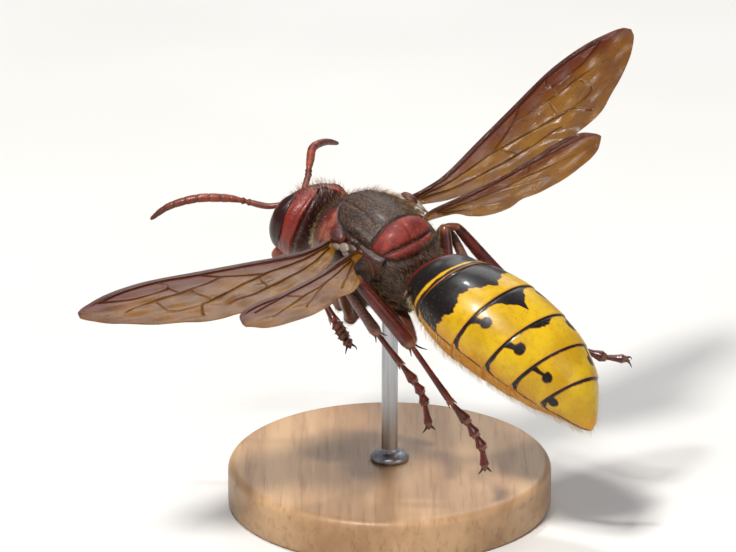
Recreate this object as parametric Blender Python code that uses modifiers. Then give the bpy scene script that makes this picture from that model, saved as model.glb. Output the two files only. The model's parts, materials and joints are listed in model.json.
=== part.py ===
"""European hornet in flight, life size, on a plain display stand.

Every size below is in millimetres and is turned into metres where a mesh is made.
The animal is drawn in its own body frame, with X to the front, Y to its left and Z
to its back, and the thorax centre as origin. One matrix then places it over the stand.
"""
import math

import bmesh
import bpy
from mathutils import Matrix, Vector
from mathutils.geometry import delaunay_2d_cdt

MM = 0.001
GAP = 0.3

# Pose of the thorax over the stand, in degrees.
HEADING = 131.0
PITCH = 11.8
ROLL = -12.9

# Stand: a round base, and one rod under the thorax.
BASE_RADIUS = 11.0
BASE_HEIGHT = 3.0
BASE_EDGE = 0.6
ROD_RADIUS = 0.55
ROD_FOOT = (0.0, 0.0)
ROD_TOP_IN_BODY = Vector((-0.6, 0.0, -3.3))
THORAX_HEIGHT = 18.0

# Thorax: front end, rear end, and its section at stations from front to rear
# (forward, half width, back height, belly height).
THORAX_STATIONS = [
    (5.15, 0.7, 0.65, -0.8),
    (4.8, 0.85, 0.8, -0.95),
    (4.45, 1.4, 1.3, -1.2),
    (4.0, 2.55, 2.35, -1.8),
    (3.1, 2.95, 3.2, -2.5),
    (2.0, 3.2, 3.65, -3.05),
    (0.6, 3.4, 3.9, -3.4),
    (-0.9, 3.4, 3.8, -3.45),
    (-2.2, 3.05, 3.45, -3.1),
    (-3.0, 2.7, 2.9, -2.8),
    (-3.7, 2.2, 2.0, -2.4),
    (-4.2, 1.8, 1.1, -2.1),
    (-4.6, 1.15, 0.3, -1.6),
]
THORAX_SIDES = 26
THORAX_RINGS = 24
SHIELD_HALF_WIDTH = 2.5
SHIELD_FRONT = 3.0
SHIELD_REAR = -3.7
SHIELD_FLOOR = 1.15
SHIELD_POINTS = 36
SHIELD_ROUNDNESS = 0.8
SCUTELLUM_FRONT = -1.58
METANOTUM_FRONT = -3.0
PRONOTUM_TOP = 1.25
PRONOTUM_TOP_HEIGHT = 2.3
PRONOTUM_FOOT = 3.3
PRONOTUM_FOOT_HEIGHT = -2.3
PROPODEUM_FRONT = -2.9
CUTTER_REACH = 12.0
TEGULA_PLACE = Vector((0.75, 3.15, 2.75))
TEGULA_SIZE = Vector((0.85, 0.6, 0.34))
TEGULA_TILT = 38.0

# Head: placed by its centre, turned on the neck.
HEAD_CENTRE = Vector((6.8, 0.55, -0.55))
HEAD_ROLL = 13.0
HEAD_PITCH = 0.0
HEAD_YAW = 0.0
HEAD_RINGS = 17
HEAD_SIDES = 28
# Slices of the head from crown to jaws
# (height, half width, middle, reach to the front, reach to the back).
HEAD_LEVELS = [
    (2.62, 0.3, -0.35, 0.2, 0.2), (2.5, 1.15, -0.35, 0.65, 0.6), (2.2, 1.85, -0.25, 1.0, 1.0),
    (1.7, 2.45, -0.1, 1.3, 1.4), (1.0, 2.88, 0.0, 1.5, 1.7), (0.3, 3.05, 0.0, 1.65, 1.8),
    (-0.5, 2.98, 0.05, 1.72, 1.75), (-1.3, 2.65, 0.2, 1.65, 1.55), (-2.0, 2.15, 0.4, 1.4, 1.25),
    (-2.5, 1.6, 0.6, 1.1, 0.9), (-2.85, 0.95, 0.75, 0.65, 0.5), (-2.97, 0.35, 0.8, 0.25, 0.2),
]
HEAD_FRONT_ROUNDNESS = 0.95
HEAD_SIDE_ROUNDNESS = 0.9
HEAD_BACK_ROUNDNESS = 0.62
NAPE_DEPTH = 0.4
NAPE_HALF_WIDTH = 1.35
NAPE_HALF_HEIGHT = 1.25
EYE_CENTRE = Vector((0.75, 3.0, 0.1))
EYE_REACH = Vector((0.95, 1.75, 2.2))
EYE_BULGE = 0.2
MANDIBLE_ROOT = Vector((0.75, 1.3, -2.2))
MANDIBLE_TIP = Vector((1.45, 0.32, -3.75))
MANDIBLE_BEND = Vector((0.35, 0.35, 0.0))
MANDIBLE_RADII = [0.55, 0.62, 0.66, 0.58, 0.46, 0.34, 0.2]
MANDIBLE_FLATNESS = 0.7

# Antennae, in the body frame: a scape, then a feeler of eleven joints.
SCAPE_PATHS = {
    "left": [Vector((8.6, 1.2, 0.15)), Vector((9.4, 2.15, -0.05)), Vector((10.35, 2.95, 0.15))],
    "right": [Vector((8.6, -0.05, 0.05)), Vector((9.45, -1.05, -0.05)), Vector((10.35, -2.1, -0.1))],
}
FEELER_PATHS = {
    "left": [Vector((10.8, 3.35, 0.28)), Vector((11.55, 4.1, 0.45)), Vector((12.8, 5.6, 0.5)),
             Vector((13.9, 7.2, 0.05)), Vector((14.5, 8.3, -0.75))],
    "right": [Vector((10.8, -2.5, -0.1)), Vector((11.6, -3.3, -0.05)), Vector((12.5, -4.3, 0.05)),
              Vector((13.05, -5.8, -0.5)), Vector((13.35, -7.1, -1.4))],
}
SCAPE_RADIUS = 0.27
FEELER_RADIUS = 0.31
FEELER_SWELL = [(0.0, 0.82), (0.3, 1.0), (0.6, 0.96), (1.0, 0.6)]
FEELER_JOINTS = 11
FEELER_JOINT_SWELL = 0.05

# Gaster: the middle of its front face, its bend (share of the length, degrees down,
# degrees to the right) and its rings (length from the front face, half width).
GASTER_START = Vector((-5.15, -0.3, 1.1))
GASTER_BEND = [(0.0, 14.0, -4.0), (0.33, 18.0, 12.0), (0.66, 28.0, 8.0), (1.0, 44.0, -1.0)]
GASTER_ROLL = 2.0
GASTER_LENGTH = 15.05
GASTER_FLATNESS = 0.88
GASTER_SKEW = 0.185
GASTER_PROFILE = [
    (0.0, 1.35), (0.15, 1.98), (0.45, 2.45), (1.2, 2.7), (2.15, 3.08), (3.5, 3.45), (5.3, 3.65),
    (7.6, 3.55), (9.9, 3.2), (12.15, 2.36), (13.9, 1.2), (14.7, 0.58), (15.05, 0.12),
]
GASTER_CUTS = [0.0, 2.25, 5.4, 8.0, 10.15, 12.15, 15.05]
WAIST_PATH = [Vector((-4.3, 0.0, -0.5)), Vector((-5.0, -0.1, -0.1)), Vector((-5.9, -0.3, 0.7))]
WAIST_RADII = (0.6, 0.7, 1.1)
GASTER_SIDES = 24
GASTER_STEPS = 5
GASTER_FRAMES = 64
GASTER_LIP = 0.12

# Wings, in the wing's own plane: X along the span, Y towards the trailing edge.
FOREWING_ROOT = Vector((1.03, 3.55, 2.05))
FOREWING_SPAN = Vector((0.5, 20.15, 4.33))
WING_THICKNESS = 0.5
WING_ROOT_EXTRA = 0.16
WING_ROOT_LENGTH = 1.5
MERGE_IN_PLANE = 0.02
VEIN_HALF_WIDTH = 0.17
VEIN_HEIGHT = 0.13
FOREWING_OUTLINE = [
    (0.0, -0.35), (1.2, -0.1), (2.9, 0.05), (6.7, -0.45), (10.6, -0.95), (13.3, -1.3),
    (15.0, -1.4), (17.3, -1.25), (19.3, -0.8), (20.4, -0.3), (20.65, 0.25), (20.3, 0.85),
    (19.6, 1.45), (18.5, 2.25), (16.9, 3.05), (15.1, 3.85), (13.7, 4.4), (12.4, 4.5),
    (11.2, 4.2), (10.0, 3.9), (8.4, 3.65), (5.4, 3.1), (2.9, 2.35), (1.2, 1.6), (0.0, 0.65),
]
FOREWING_VEINS = [
    [(0.2, 0.0), (2.9, 0.4), (6.7, -0.08), (10.6, -0.57), (12.7, -0.9), (14.4, -1.03), (16.6, -0.95),
     (18.5, -0.6)],
    [(0.4, 0.25), (3.4, 0.95), (6.4, 1.2), (11.6, 2.3), (12.6, 2.6), (13.4, 3.8)],
    [(6.4, 1.2), (9.2, 0.25), (10.6, -0.57)],
    [(9.2, 0.25), (12.2, 0.65), (15.7, 0.75), (17.6, 1.1)],
    [(12.2, 0.65), (11.6, 2.3)],
    [(12.6, 2.6), (14.8, 2.3), (15.0, 0.75)],
    [(13.6, -0.95), (13.3, -0.15), (16.0, 0.0), (18.5, -0.6)],
    [(13.3, -0.15), (13.0, 0.67)],
    [(0.5, 0.5), (3.4, 1.75), (7.4, 2.75), (11.0, 3.3)],
    [(7.0, 1.35), (7.4, 2.75)],
]
FOREWING_CAMBER = 0.012
FOREWING_CREST = 1.5
HINDWING_ROOT_SHIFT = (0.0, 2.35, -0.15)
HINDWING_CAMBER = 0.02
HINDWING_SWEEP = 11.0
HINDWING_OUTLINE = [
    (0.0, -0.4), (1.6, -0.25), (4.5, 0.1), (7.5, 0.15), (10.0, 0.0), (11.6, 0.3), (12.3, 1.1),
    (12.1, 1.95), (11.4, 2.6), (10.4, 3.1), (8.4, 3.45), (6.4, 3.4), (5.2, 3.1), (3.9, 3.15), (2.2, 2.5),
    (1.0, 0.95), (0.0, 0.45),
]
HINDWING_VEINS = [
    [(0.2, 0.0), (4.4, 0.4), (7.4, 0.5), (10.6, 0.75)],
    [(0.3, 0.2), (4.2, 1.1), (6.6, 1.35), (10.2, 1.9)],
    [(6.6, 1.35), (7.4, 0.5)],
    [(4.2, 1.1), (7.6, 2.5)],
    [(0.4, 0.4), (3.8, 2.3)],
]

# Legs: joints in the body frame, from the hip out to the claws
# (hip, hip ring, knee, ankle, then the ends of the five foot joints).
LEG_JOINTS = {
    "left_front": [(2.4, 1.1, -2.3), (2.0, 2.2, -4.25), (5.05, 2.5, -2.6), (3.85, 2.25, -4.8),
                   (2.25, 2.6, -5.55), (1.8, 2.65, -5.75), (1.45, 2.7, -5.95), (1.1, 2.75, -6.12),
                   (0.55, 2.85, -6.35)],
    "right_front": [(2.4, -1.1, -2.3), (2.0, -2.2, -4.25), (5.05, -2.5, -2.6), (4.0, -2.5, -4.8),
                    (2.7, -2.65, -5.6), (2.3, -2.65, -5.85), (1.95, -2.7, -6.05), (1.65, -2.7, -6.2),
                    (1.0, -2.75, -6.5)],
    "left_middle": [(0.6, 1.4, -2.7), (0.2, 2.8, -4.0), (-0.95, 4.4, 0.35), (-4.0, 3.9, -2.4),
                    (-5.65, 3.35, -4.3), (-6.55, 3.05, -5.3), (-7.05, 2.9, -6.0), (-7.4, 2.9, -6.7),
                    (-8.1, 3.2, -8.0)],
    "right_middle": [(0.6, -1.4, -2.7), (0.2, -2.8, -4.0), (-0.9, -4.6, 0.2), (-3.9, -4.7, -2.6),
                     (-5.6, -4.6, -4.4), (-6.4, -4.5, -5.3), (-6.9, -4.5, -6.0), (-7.3, -4.5, -6.6),
                     (-7.9, -4.6, -7.7)],
    "left_hind": [(-2.2, 1.2, -2.4), (-4.75, 1.8, -3.5), (-2.1, 3.95, 1.05), (-6.5, 3.1, -2.35),
                  (-9.9, 2.65, -5.45), (-11.0, 2.3, -6.5), (-11.7, 2.2, -7.25), (-12.3, 2.15, -8.0),
                  (-12.85, 2.45, -9.1)],
    "right_hind": [(-2.2, -1.2, -2.4), (-4.75, -1.8, -3.5), (-1.9, -3.9, 1.1), (-6.0, -5.6, -1.95),
                   (-9.3, -7.0, -4.4), (-10.45, -7.45, -5.2), (-11.25, -7.75, -5.75), (-12.35, -8.6, -6.2),
                   (-13.3, -9.6, -6.35)],
}
LEG_RADII = {
    "front": (0.62, 0.44, 0.36, 0.32),
    "middle": (0.66, 0.45, 0.38, 0.30),
    "hind": (0.70, 0.48, 0.46, 0.32),
}
# Share of the length, and size as a share of the leg's own radius there.
THIGH_SHAPE = [(0.0, 0.9), (0.14, 0.9), (0.22, 0.8), (0.4, 1.0), (0.7, 0.95), (1.0, 0.78)]
SHIN_SHAPE = [(0.0, 0.68), (0.25, 0.85), (0.6, 1.0), (0.9, 1.08), (1.0, 0.95)]
LEG_SIDES = 8
FOOT_SIDES = 7
CLAW_SIDES = 5
CLAW_LENGTH = 0.95
CLAW_RADIUS = 0.13
CLAW_SPREAD = 0.62
CLAW_DROP = 0.45
SPUR_LENGTH = 1.3
SPUR_SPREAD = 0.85
SPUR_ROOT = 0.3
SPUR_RADIUS = 0.14

COLOURS = {
    "red_brown": ((0.30, 0.035, 0.015), 0.35),
    "dark_red": ((0.09, 0.012, 0.008), 0.35),
    "black_brown": ((0.02, 0.010, 0.007), 0.4),
    "yellow": ((0.72, 0.42, 0.03), 0.35),
    "eye": ((0.06, 0.008, 0.006), 0.2),
    "membrane": ((0.28, 0.12, 0.04), 0.35),
    "walnut": ((0.10, 0.055, 0.03), 0.45),
    "steel": ((0.55, 0.55, 0.56), 0.3),
}
METALLIC = {"steel": 1.0}


def clear_scene():
    """Start from an empty scene."""
    for item in list(bpy.data.objects):
        bpy.data.objects.remove(item, do_unlink=True)


def collection(name):
    """A named collection linked to the scene."""
    group = bpy.data.collections.new(name)
    bpy.context.scene.collection.children.link(group)
    return group


def material(name):
    """The finish with this name, made once."""
    known = bpy.data.materials.get(name)
    if known:
        return known
    colour, roughness = COLOURS[name]
    made = bpy.data.materials.new(name)
    made.use_nodes = True
    shader = made.node_tree.nodes["Principled BSDF"]
    shader.inputs["Base Color"].default_value = (*colour, 1.0)
    shader.inputs["Roughness"].default_value = roughness
    shader.inputs["Metallic"].default_value = METALLIC.get(name, 0.0)
    return made


def body_matrix():
    """From the body frame in millimetres to the world in metres."""
    turn = (Matrix.Rotation(math.radians(HEADING), 4, "Z")
            @ Matrix.Rotation(math.radians(-PITCH), 4, "Y")
            @ Matrix.Rotation(math.radians(ROLL), 4, "X"))
    top = turn @ ROD_TOP_IN_BODY
    place = Vector((ROD_FOOT[0] - top.x, ROD_FOOT[1] - top.y, THORAX_HEIGHT))
    return Matrix.Scale(MM, 4) @ Matrix.Translation(place) @ turn


def head_matrix():
    """From the head's frame to the body frame."""
    turn = (Matrix.Rotation(math.radians(HEAD_YAW), 4, "Z")
            @ Matrix.Rotation(math.radians(-HEAD_PITCH), 4, "Y")
            @ Matrix.Rotation(math.radians(HEAD_ROLL), 4, "X"))
    return Matrix.Translation(HEAD_CENTRE) @ turn


def mirror_side(point, side):
    """The point on the left (side 1) or on the right (side -1)."""
    return Vector((point[0], side * point[1], point[2]))


def mix(a, b, t):
    """Between two numbers."""
    return a + (b - a) * t


def smooth_value(table, at, column):
    """Read one column of a table of stations with a smooth curve through them."""
    last = len(table) - 1
    step = 0
    rising = table[0][0] < table[-1][0]
    while step < last - 1 and (at > table[step + 1][0]) == rising:
        step += 1
    before, start = table[max(step - 1, 0)], table[step]
    end, after = table[step + 1], table[min(step + 2, last)]
    t = (at - start[0]) / (end[0] - start[0])
    t = min(max(t, 0.0), 1.0)
    width = end[0] - start[0]
    slope_a = (end[column] - before[column]) / (end[0] - before[0]) * width
    slope_b = (after[column] - start[column]) / (after[0] - start[0]) * width
    a, b = start[column], end[column]
    return ((2 * t ** 3 - 3 * t ** 2 + 1) * a + (t ** 3 - 2 * t ** 2 + t) * slope_a
            + (3 * t ** 2 - 2 * t ** 3) * b + (t ** 3 - t ** 2) * slope_b)


def smooth_path(points, steps):
    """Points on a smooth curve through the given ones."""
    points = [Vector(p) for p in points]
    made = []
    for i in range(len(points) - 1):
        before = points[max(i - 1, 0)]
        start, end = points[i], points[i + 1]
        after = points[min(i + 2, len(points) - 1)]
        for k in range(steps):
            t = k / steps
            made.append(0.5 * ((2 * start) + (end - before) * t
                               + (2 * before - 5 * start + 4 * end - after) * t ** 2
                               + (3 * start - before - 3 * end + after) * t ** 3))
    made.append(points[-1])
    return made


def new_object(name, mesh, finish, group):
    """An object with one finish in the collection."""
    item = bpy.data.objects.new(name, mesh)
    mesh.materials.append(material(finish))
    group.objects.link(item)
    return item


def loft_mesh(name, rings, to_world):
    """A closed mesh through rings of equal count, closed with a fan at each end."""
    bm = bmesh.new()
    loops = [[bm.verts.new(to_world @ p) for p in ring] for ring in rings]
    count = len(loops[0])
    for lower, upper in zip(loops, loops[1:]):
        for i in range(count):
            j = (i + 1) % count
            bm.faces.new((lower[i], lower[j], upper[j], upper[i]))
    for loop in (loops[0], loops[-1]):
        cap = bm.faces.new(loop)
        bmesh.ops.poke(bm, faces=[cap])
    bmesh.ops.recalc_face_normals(bm, faces=bm.faces)
    mesh = bpy.data.meshes.new(name)
    bm.to_mesh(mesh)
    bm.free()
    mesh.shade_smooth()
    return mesh


def sweep_rings(path, radii, sides, round_start=True, round_end=True, flatten=1.0):
    """Rings of a limb along a path, with rounded ends."""
    path = [Vector(p) for p in path]
    places, sizes = list(path), list(radii)
    if round_start:
        back = (path[0] - path[1]).normalized()
        r = radii[0]
        places = [path[0] + back * r * 0.85, path[0] + back * r * 0.5] + places
        sizes = [r * 0.5, r * 0.87] + sizes
    if round_end:
        ahead = (path[-1] - path[-2]).normalized()
        r = radii[-1]
        places += [path[-1] + ahead * r * 0.5, path[-1] + ahead * r * 0.85]
        sizes += [r * 0.87, r * 0.5]
    side = None
    rings = []
    for i, (place, r) in enumerate(zip(places, sizes)):
        along = (places[min(i + 1, len(places) - 1)] - places[max(i - 1, 0)]).normalized()
        if side is None:
            side = along.orthogonal().normalized()
        side = (side - along * side.dot(along)).normalized()
        other = along.cross(side)
        ring = []
        for k in range(sides):
            a = 2 * math.pi * k / sides
            ring.append(place + side * (r * math.cos(a)) + other * (r * flatten * math.sin(a)))
        rings.append(ring)
    return rings


def keep_largest(item):
    """Keep only the largest closed surface of a mesh."""
    bm = bmesh.new()
    bm.from_mesh(item.data)
    left = set(bm.faces)
    best = []
    while left:
        stack = [left.pop()]
        piece = list(stack)
        while stack:
            face = stack.pop()
            for edge in face.edges:
                for near in edge.link_faces:
                    if near in left:
                        left.remove(near)
                        stack.append(near)
                        piece.append(near)
        if len(piece) > len(best):
            best = piece
    keep = set(best)
    bmesh.ops.delete(bm, geom=[f for f in bm.faces if f not in keep], context="FACES")
    bm.to_mesh(item.data)
    bm.free()


def apply_modifiers(item):
    """Replace the object's mesh with its evaluated one."""
    graph = bpy.context.evaluated_depsgraph_get()
    mesh = bpy.data.meshes.new_from_object(item.evaluated_get(graph))
    old = item.data
    item.modifiers.clear()
    item.data = mesh
    bpy.data.meshes.remove(old)


def boolean(item, operation, other, solver="EXACT"):
    """Cut, keep or join with one object, applied."""
    step = item.modifiers.new(operation, "BOOLEAN")
    step.operation = operation
    step.solver = solver
    step.object = other
    apply_modifiers(item)


def fuse(item, pieces):
    """Join closed pieces to the item with one union on a collection, then drop them."""
    group = bpy.data.collections.new(item.name + "_pieces")
    bpy.context.scene.collection.children.link(group)
    for piece in pieces:
        for held in list(piece.users_collection):
            held.objects.unlink(piece)
        group.objects.link(piece)
    step = item.modifiers.new("union", "BOOLEAN")
    step.operation = "UNION"
    step.solver = "EXACT"
    step.operand_type = "COLLECTION"
    step.collection = group
    apply_modifiers(item)
    for piece in pieces:
        bpy.data.objects.remove(piece, do_unlink=True)
    bpy.data.collections.remove(group)
    keep_largest(item)


def box_cutter(name, low, high, turn, group):
    """A box between two corners, turned about its own frame, as a cutter."""
    bm = bmesh.new()
    bmesh.ops.create_cube(bm, size=1.0)
    size = Vector(high) - Vector(low)
    middle = (Vector(high) + Vector(low)) / 2
    for vert in bm.verts:
        vert.co = turn @ Vector((middle[i] + vert.co[i] * size[i] for i in range(3)))
    bmesh.ops.recalc_face_normals(bm, faces=bm.faces)
    mesh = bpy.data.meshes.new(name)
    bm.to_mesh(mesh)
    bm.free()
    item = bpy.data.objects.new(name, mesh)
    item.hide_render = True
    item.display_type = "WIRE"
    group.objects.link(item)
    return item


def copy_object(item, name, finish, group):
    """A copy with its own mesh and finish."""
    mesh = item.data.copy()
    mesh.materials.clear()
    return new_object(name, mesh, finish, group)


def remove(items):
    """Remove helper objects."""
    for item in items:
        bpy.data.objects.remove(item, do_unlink=True)


def thorax_rings(grow=0.0):
    """Rings of the whole thorax, as one rounded barrel."""
    front, rear = THORAX_STATIONS[0][0], THORAX_STATIONS[-1][0]
    rings = []
    for i in range(THORAX_RINGS + 1):
        at = mix(front, rear, i / THORAX_RINGS)
        wide = smooth_value(THORAX_STATIONS, at, 1) + grow
        top = smooth_value(THORAX_STATIONS, at, 2) + grow
        low = smooth_value(THORAX_STATIONS, at, 3) - grow
        if grow:
            at = mix(front + grow, rear - grow, i / THORAX_RINGS)
        middle = (top + low) / 2
        tall = (top - low) / 2
        ring = []
        for k in range(THORAX_SIDES):
            a = 2 * math.pi * k / THORAX_SIDES
            ring.append(Vector((at, wide * math.cos(a), middle + tall * math.sin(a))))
        rings.append(ring)
    return rings


def shield_outline(grow):
    """The outline from above of the plates on the thorax's back."""
    middle = (SHIELD_FRONT + SHIELD_REAR) / 2
    reach = (SHIELD_FRONT - SHIELD_REAR) / 2 + grow
    wide = SHIELD_HALF_WIDTH + grow
    points = []
    for k in range(SHIELD_POINTS):
        a = 2 * math.pi * k / SHIELD_POINTS
        x = math.copysign(abs(math.cos(a)) ** SHIELD_ROUNDNESS, math.cos(a))
        y = math.copysign(abs(math.sin(a)) ** SHIELD_ROUNDNESS, math.sin(a))
        points.append((middle + reach * x, wide * y))
    return points


def shield_cutter(name, grow, floor, to_world, group):
    """An upright prism over the back plates."""
    rings = [[Vector((x, y, z)) for x, y in shield_outline(grow)] for z in (floor, CUTTER_REACH)]
    item = bpy.data.objects.new(name, loft_mesh(name, rings, to_world))
    item.hide_render = True
    item.display_type = "WIRE"
    group.objects.link(item)
    return item


def build_thorax(to_world, parts, cutters):
    """Part one barrel into the thorax's plates with thin cuts."""
    whole = new_object("whole", loft_mesh("whole", thorax_rings(), to_world), "dark_red", parts)
    inner = shield_cutter("inner", -GAP / 2, SHIELD_FLOOR + GAP / 2, to_world, cutters)
    outer = shield_cutter("outer", GAP / 2, SHIELD_FLOOR - GAP / 2, to_world, cutters)

    shield = copy_object(whole, "shield", "black_brown", parts)
    boolean(shield, "INTERSECT", inner)
    below = copy_object(whole, "below", "dark_red", parts)
    boolean(below, "DIFFERENCE", outer)

    far = CUTTER_REACH
    half = GAP / 2
    ends = [("mesoscutum", "black_brown", SCUTELLUM_FRONT + half, far),
            ("scutellum", "red_brown", METANOTUM_FRONT + half, SCUTELLUM_FRONT - half),
            ("metanotum", "red_brown", -far, METANOTUM_FRONT - half)]
    for name, finish, rear, front in ends:
        plate = copy_object(shield, name, finish, parts)
        block = box_cutter(name + "_block", (rear, -far, -far), (front, far, far), to_world, cutters)
        boolean(plate, "INTERSECT", block)
        remove([block])

    slope = (PRONOTUM_FOOT - PRONOTUM_TOP) / (PRONOTUM_TOP_HEIGHT - PRONOTUM_FOOT_HEIGHT)
    high = PRONOTUM_TOP + (PRONOTUM_TOP_HEIGHT - far) * slope
    low = PRONOTUM_TOP + (PRONOTUM_TOP_HEIGHT + far) * slope
    edge = PROPODEUM_FRONT
    regions = [
        ("pronotum", "red_brown", [(high + half, far), (low + half, -far), (2 * far, -far), (2 * far, far)]),
        ("mesothorax", "dark_red",
         [(edge + half, far), (edge + half, -far), (low - half, -far), (high - half, far)]),
        ("propodeum", "dark_red", [(-far, far), (-far, -far), (edge - half, -far), (edge - half, far)]),
    ]
    for name, finish, outline in regions:
        region = side_prism(name + "_region", outline, to_world, cutters)
        plate = copy_object(below, name, finish, parts)
        boolean(plate, "INTERSECT", region)
        keep_largest(plate)
        remove([region])
    remove([whole, shield, below, inner, outer])


def side_prism(name, outline, to_world, group):
    """A prism with this outline seen from the side, across the whole width."""
    rings = [[Vector((x, y, z)) for x, z in outline] for y in (-CUTTER_REACH, CUTTER_REACH)]
    item = bpy.data.objects.new(name, loft_mesh(name, rings, to_world))
    item.hide_render = True
    item.display_type = "WIRE"
    group.objects.link(item)
    return item


def trim_to_thorax(to_world, parts, cutters):
    """Cut back what grows from the thorax, so that it meets it face to face."""
    grown = bpy.data.objects.new("grown", loft_mesh("grown", thorax_rings(GAP), to_world))
    cutters.objects.link(grown)
    rooted = ("coxa", "femur", "forewing", "hindwing", "tegula", "gaster_1", "head", "stand_rod")
    for item in parts.objects:
        if item.name.startswith(rooted):
            boolean(item, "DIFFERENCE", grown)
            keep_largest(item)
    remove([grown])


def head_point(height, angle):
    """A point of the head at a height, and at an angle from the front round to the left."""
    wide, middle, ahead, behind = (smooth_value(HEAD_LEVELS, height, n) for n in (1, 2, 3, 4))
    c, s = math.cos(angle), math.sin(angle)
    y = wide * math.copysign(abs(s) ** HEAD_SIDE_ROUNDNESS, s)
    if c > 0:
        return Vector((middle + ahead * c ** HEAD_FRONT_ROUNDNESS, y, height))
    hollow = math.exp(-(y / NAPE_HALF_WIDTH) ** 2 - (height / NAPE_HALF_HEIGHT) ** 2)
    x = middle - behind * abs(c) ** HEAD_BACK_ROUNDNESS + NAPE_DEPTH * hollow * abs(c)
    return Vector((x, y, height))


def head_rings(grow=0.0):
    """Rings of the head, slice by slice from the crown to the jaws."""
    top, foot = HEAD_LEVELS[0][0], HEAD_LEVELS[-1][0]
    rings = []
    for i in range(HEAD_RINGS + 1):
        t = i / HEAD_RINGS
        height = mix(top, foot, mix(t, 0.5 - 0.5 * math.cos(math.pi * t), 0.65))
        ring = []
        for k in range(HEAD_SIDES):
            place = head_point(height, 2 * math.pi * k / HEAD_SIDES)
            ring.append(place + place.normalized() * grow)
        rings.append(ring)
    return rings


def eye_cutter_mesh(name, side, grow, to_world):
    """A long oval block that marks off one eye."""
    bm = bmesh.new()
    bmesh.ops.create_uvsphere(bm, u_segments=20, v_segments=12, radius=1.0)
    for vert in bm.verts:
        place = mirror_side(EYE_CENTRE, side)
        size = EYE_REACH + Vector((grow, grow, grow))
        vert.co = to_world @ (place + Vector(vert.co[i] * size[i] for i in range(3)))
    bmesh.ops.recalc_face_normals(bm, faces=bm.faces)
    mesh = bpy.data.meshes.new(name)
    bm.to_mesh(mesh)
    bm.free()
    return mesh


def build_head(to_world, parts, cutters):
    """The head capsule with its eyes parted from it, and the jaws."""
    head = new_object("head", loft_mesh("head", head_rings(), to_world), "red_brown", parts)
    swollen = loft_mesh("swollen", head_rings(EYE_BULGE), to_world)
    for side, word in ((1, "left"), (-1, "right")):
        tight = new_object("tight", eye_cutter_mesh("tight", side, 0.0, to_world), "eye", cutters)
        loose = new_object("loose", eye_cutter_mesh("loose", side, GAP, to_world), "eye", cutters)
        eye = new_object("eye_" + word, swollen.copy(), "eye", parts)
        boolean(eye, "INTERSECT", tight)
        boolean(head, "DIFFERENCE", loose)
        remove([tight, loose])
        root, tip = mirror_side(MANDIBLE_ROOT, side), mirror_side(MANDIBLE_TIP, side)
        bend = root.lerp(tip, 0.55) + mirror_side(MANDIBLE_BEND, side)
        path = smooth_path([root, bend, tip], 3)
        rings = sweep_rings(path, MANDIBLE_RADII, LEG_SIDES, flatten=MANDIBLE_FLATNESS)
        new_object("mandible_" + word, loft_mesh("mandible", rings, to_world), "dark_red", parts)
    bpy.data.meshes.remove(swollen)
    keep_largest(head)


def trim_to_head(to_world, parts, cutters):
    """Cut back the jaws and feelers where they would enter the head."""
    grown = bpy.data.objects.new("grown", loft_mesh("grown", head_rings(GAP), to_world))
    cutters.objects.link(grown)
    for item in parts.objects:
        if item.name.startswith(("mandible", "antenna_scape")):
            boolean(item, "DIFFERENCE", grown)
            keep_largest(item)
    remove([grown])


def build_antennae(to_world, parts):
    """Scapes and feelers, a feeler swelling a little at each of its joints."""
    for word in ("left", "right"):
        path = smooth_path(SCAPE_PATHS[word], 3)
        radii = [SCAPE_RADIUS * mix(0.95, 1.12, i / (len(path) - 1)) for i in range(len(path))]
        rings = sweep_rings(path, radii, LEG_SIDES)
        new_object("antenna_scape_" + word, loft_mesh("scape", rings, to_world), "red_brown", parts)
        path = smooth_path(FEELER_PATHS[word], 5)
        radii = []
        for i in range(len(path)):
            t = i / (len(path) - 1)
            phase = (t * FEELER_JOINTS) % 1.0
            swell = 1.0 + FEELER_JOINT_SWELL * math.sin(math.pi * phase)
            radii.append(FEELER_RADIUS * swell * smooth_value(FEELER_SWELL, t, 1))
        rings = sweep_rings(path, radii, LEG_SIDES)
        new_object("antenna_feeler_" + word, loft_mesh("feeler", rings, to_world), "dark_red", parts)


def gaster_frames(count):
    """Places and directions along the gaster's bent axis, from the waist to the tip."""
    frames = []
    place = GASTER_START.copy()
    step = GASTER_LENGTH / count
    for i in range(count + 1):
        t = i / count
        down = math.radians(smooth_value(GASTER_BEND, t, 1))
        right = math.radians(smooth_value(GASTER_BEND, t, 2))
        turn = (Matrix.Rotation(right, 3, "Z") @ Matrix.Rotation(-down, 3, "Y")
                @ Matrix.Rotation(math.radians(GASTER_ROLL), 3, "X"))
        frames.append((place.copy(), turn))
        place += turn @ Vector((-step, 0, 0))
    return frames


def gaster_ring(at, factor, frames):
    """One ring of the gaster at a length along its axis."""
    count = len(frames) - 1
    t = min(max(at / GASTER_LENGTH, 0.0), 1.0) * count
    low = min(int(t), count - 1)
    place = frames[low][0].lerp(frames[low + 1][0], t - low)
    turn = frames[low][1]
    wide = smooth_value(GASTER_PROFILE, at, 1) * factor
    tall = wide * GASTER_FLATNESS
    ring = []
    for k in range(GASTER_SIDES):
        a = 2 * math.pi * k / GASTER_SIDES
        across = wide * math.cos(a)
        ring.append(place + turn @ Vector((GASTER_SKEW * across, across, tall * math.sin(a))))
    return ring


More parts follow.
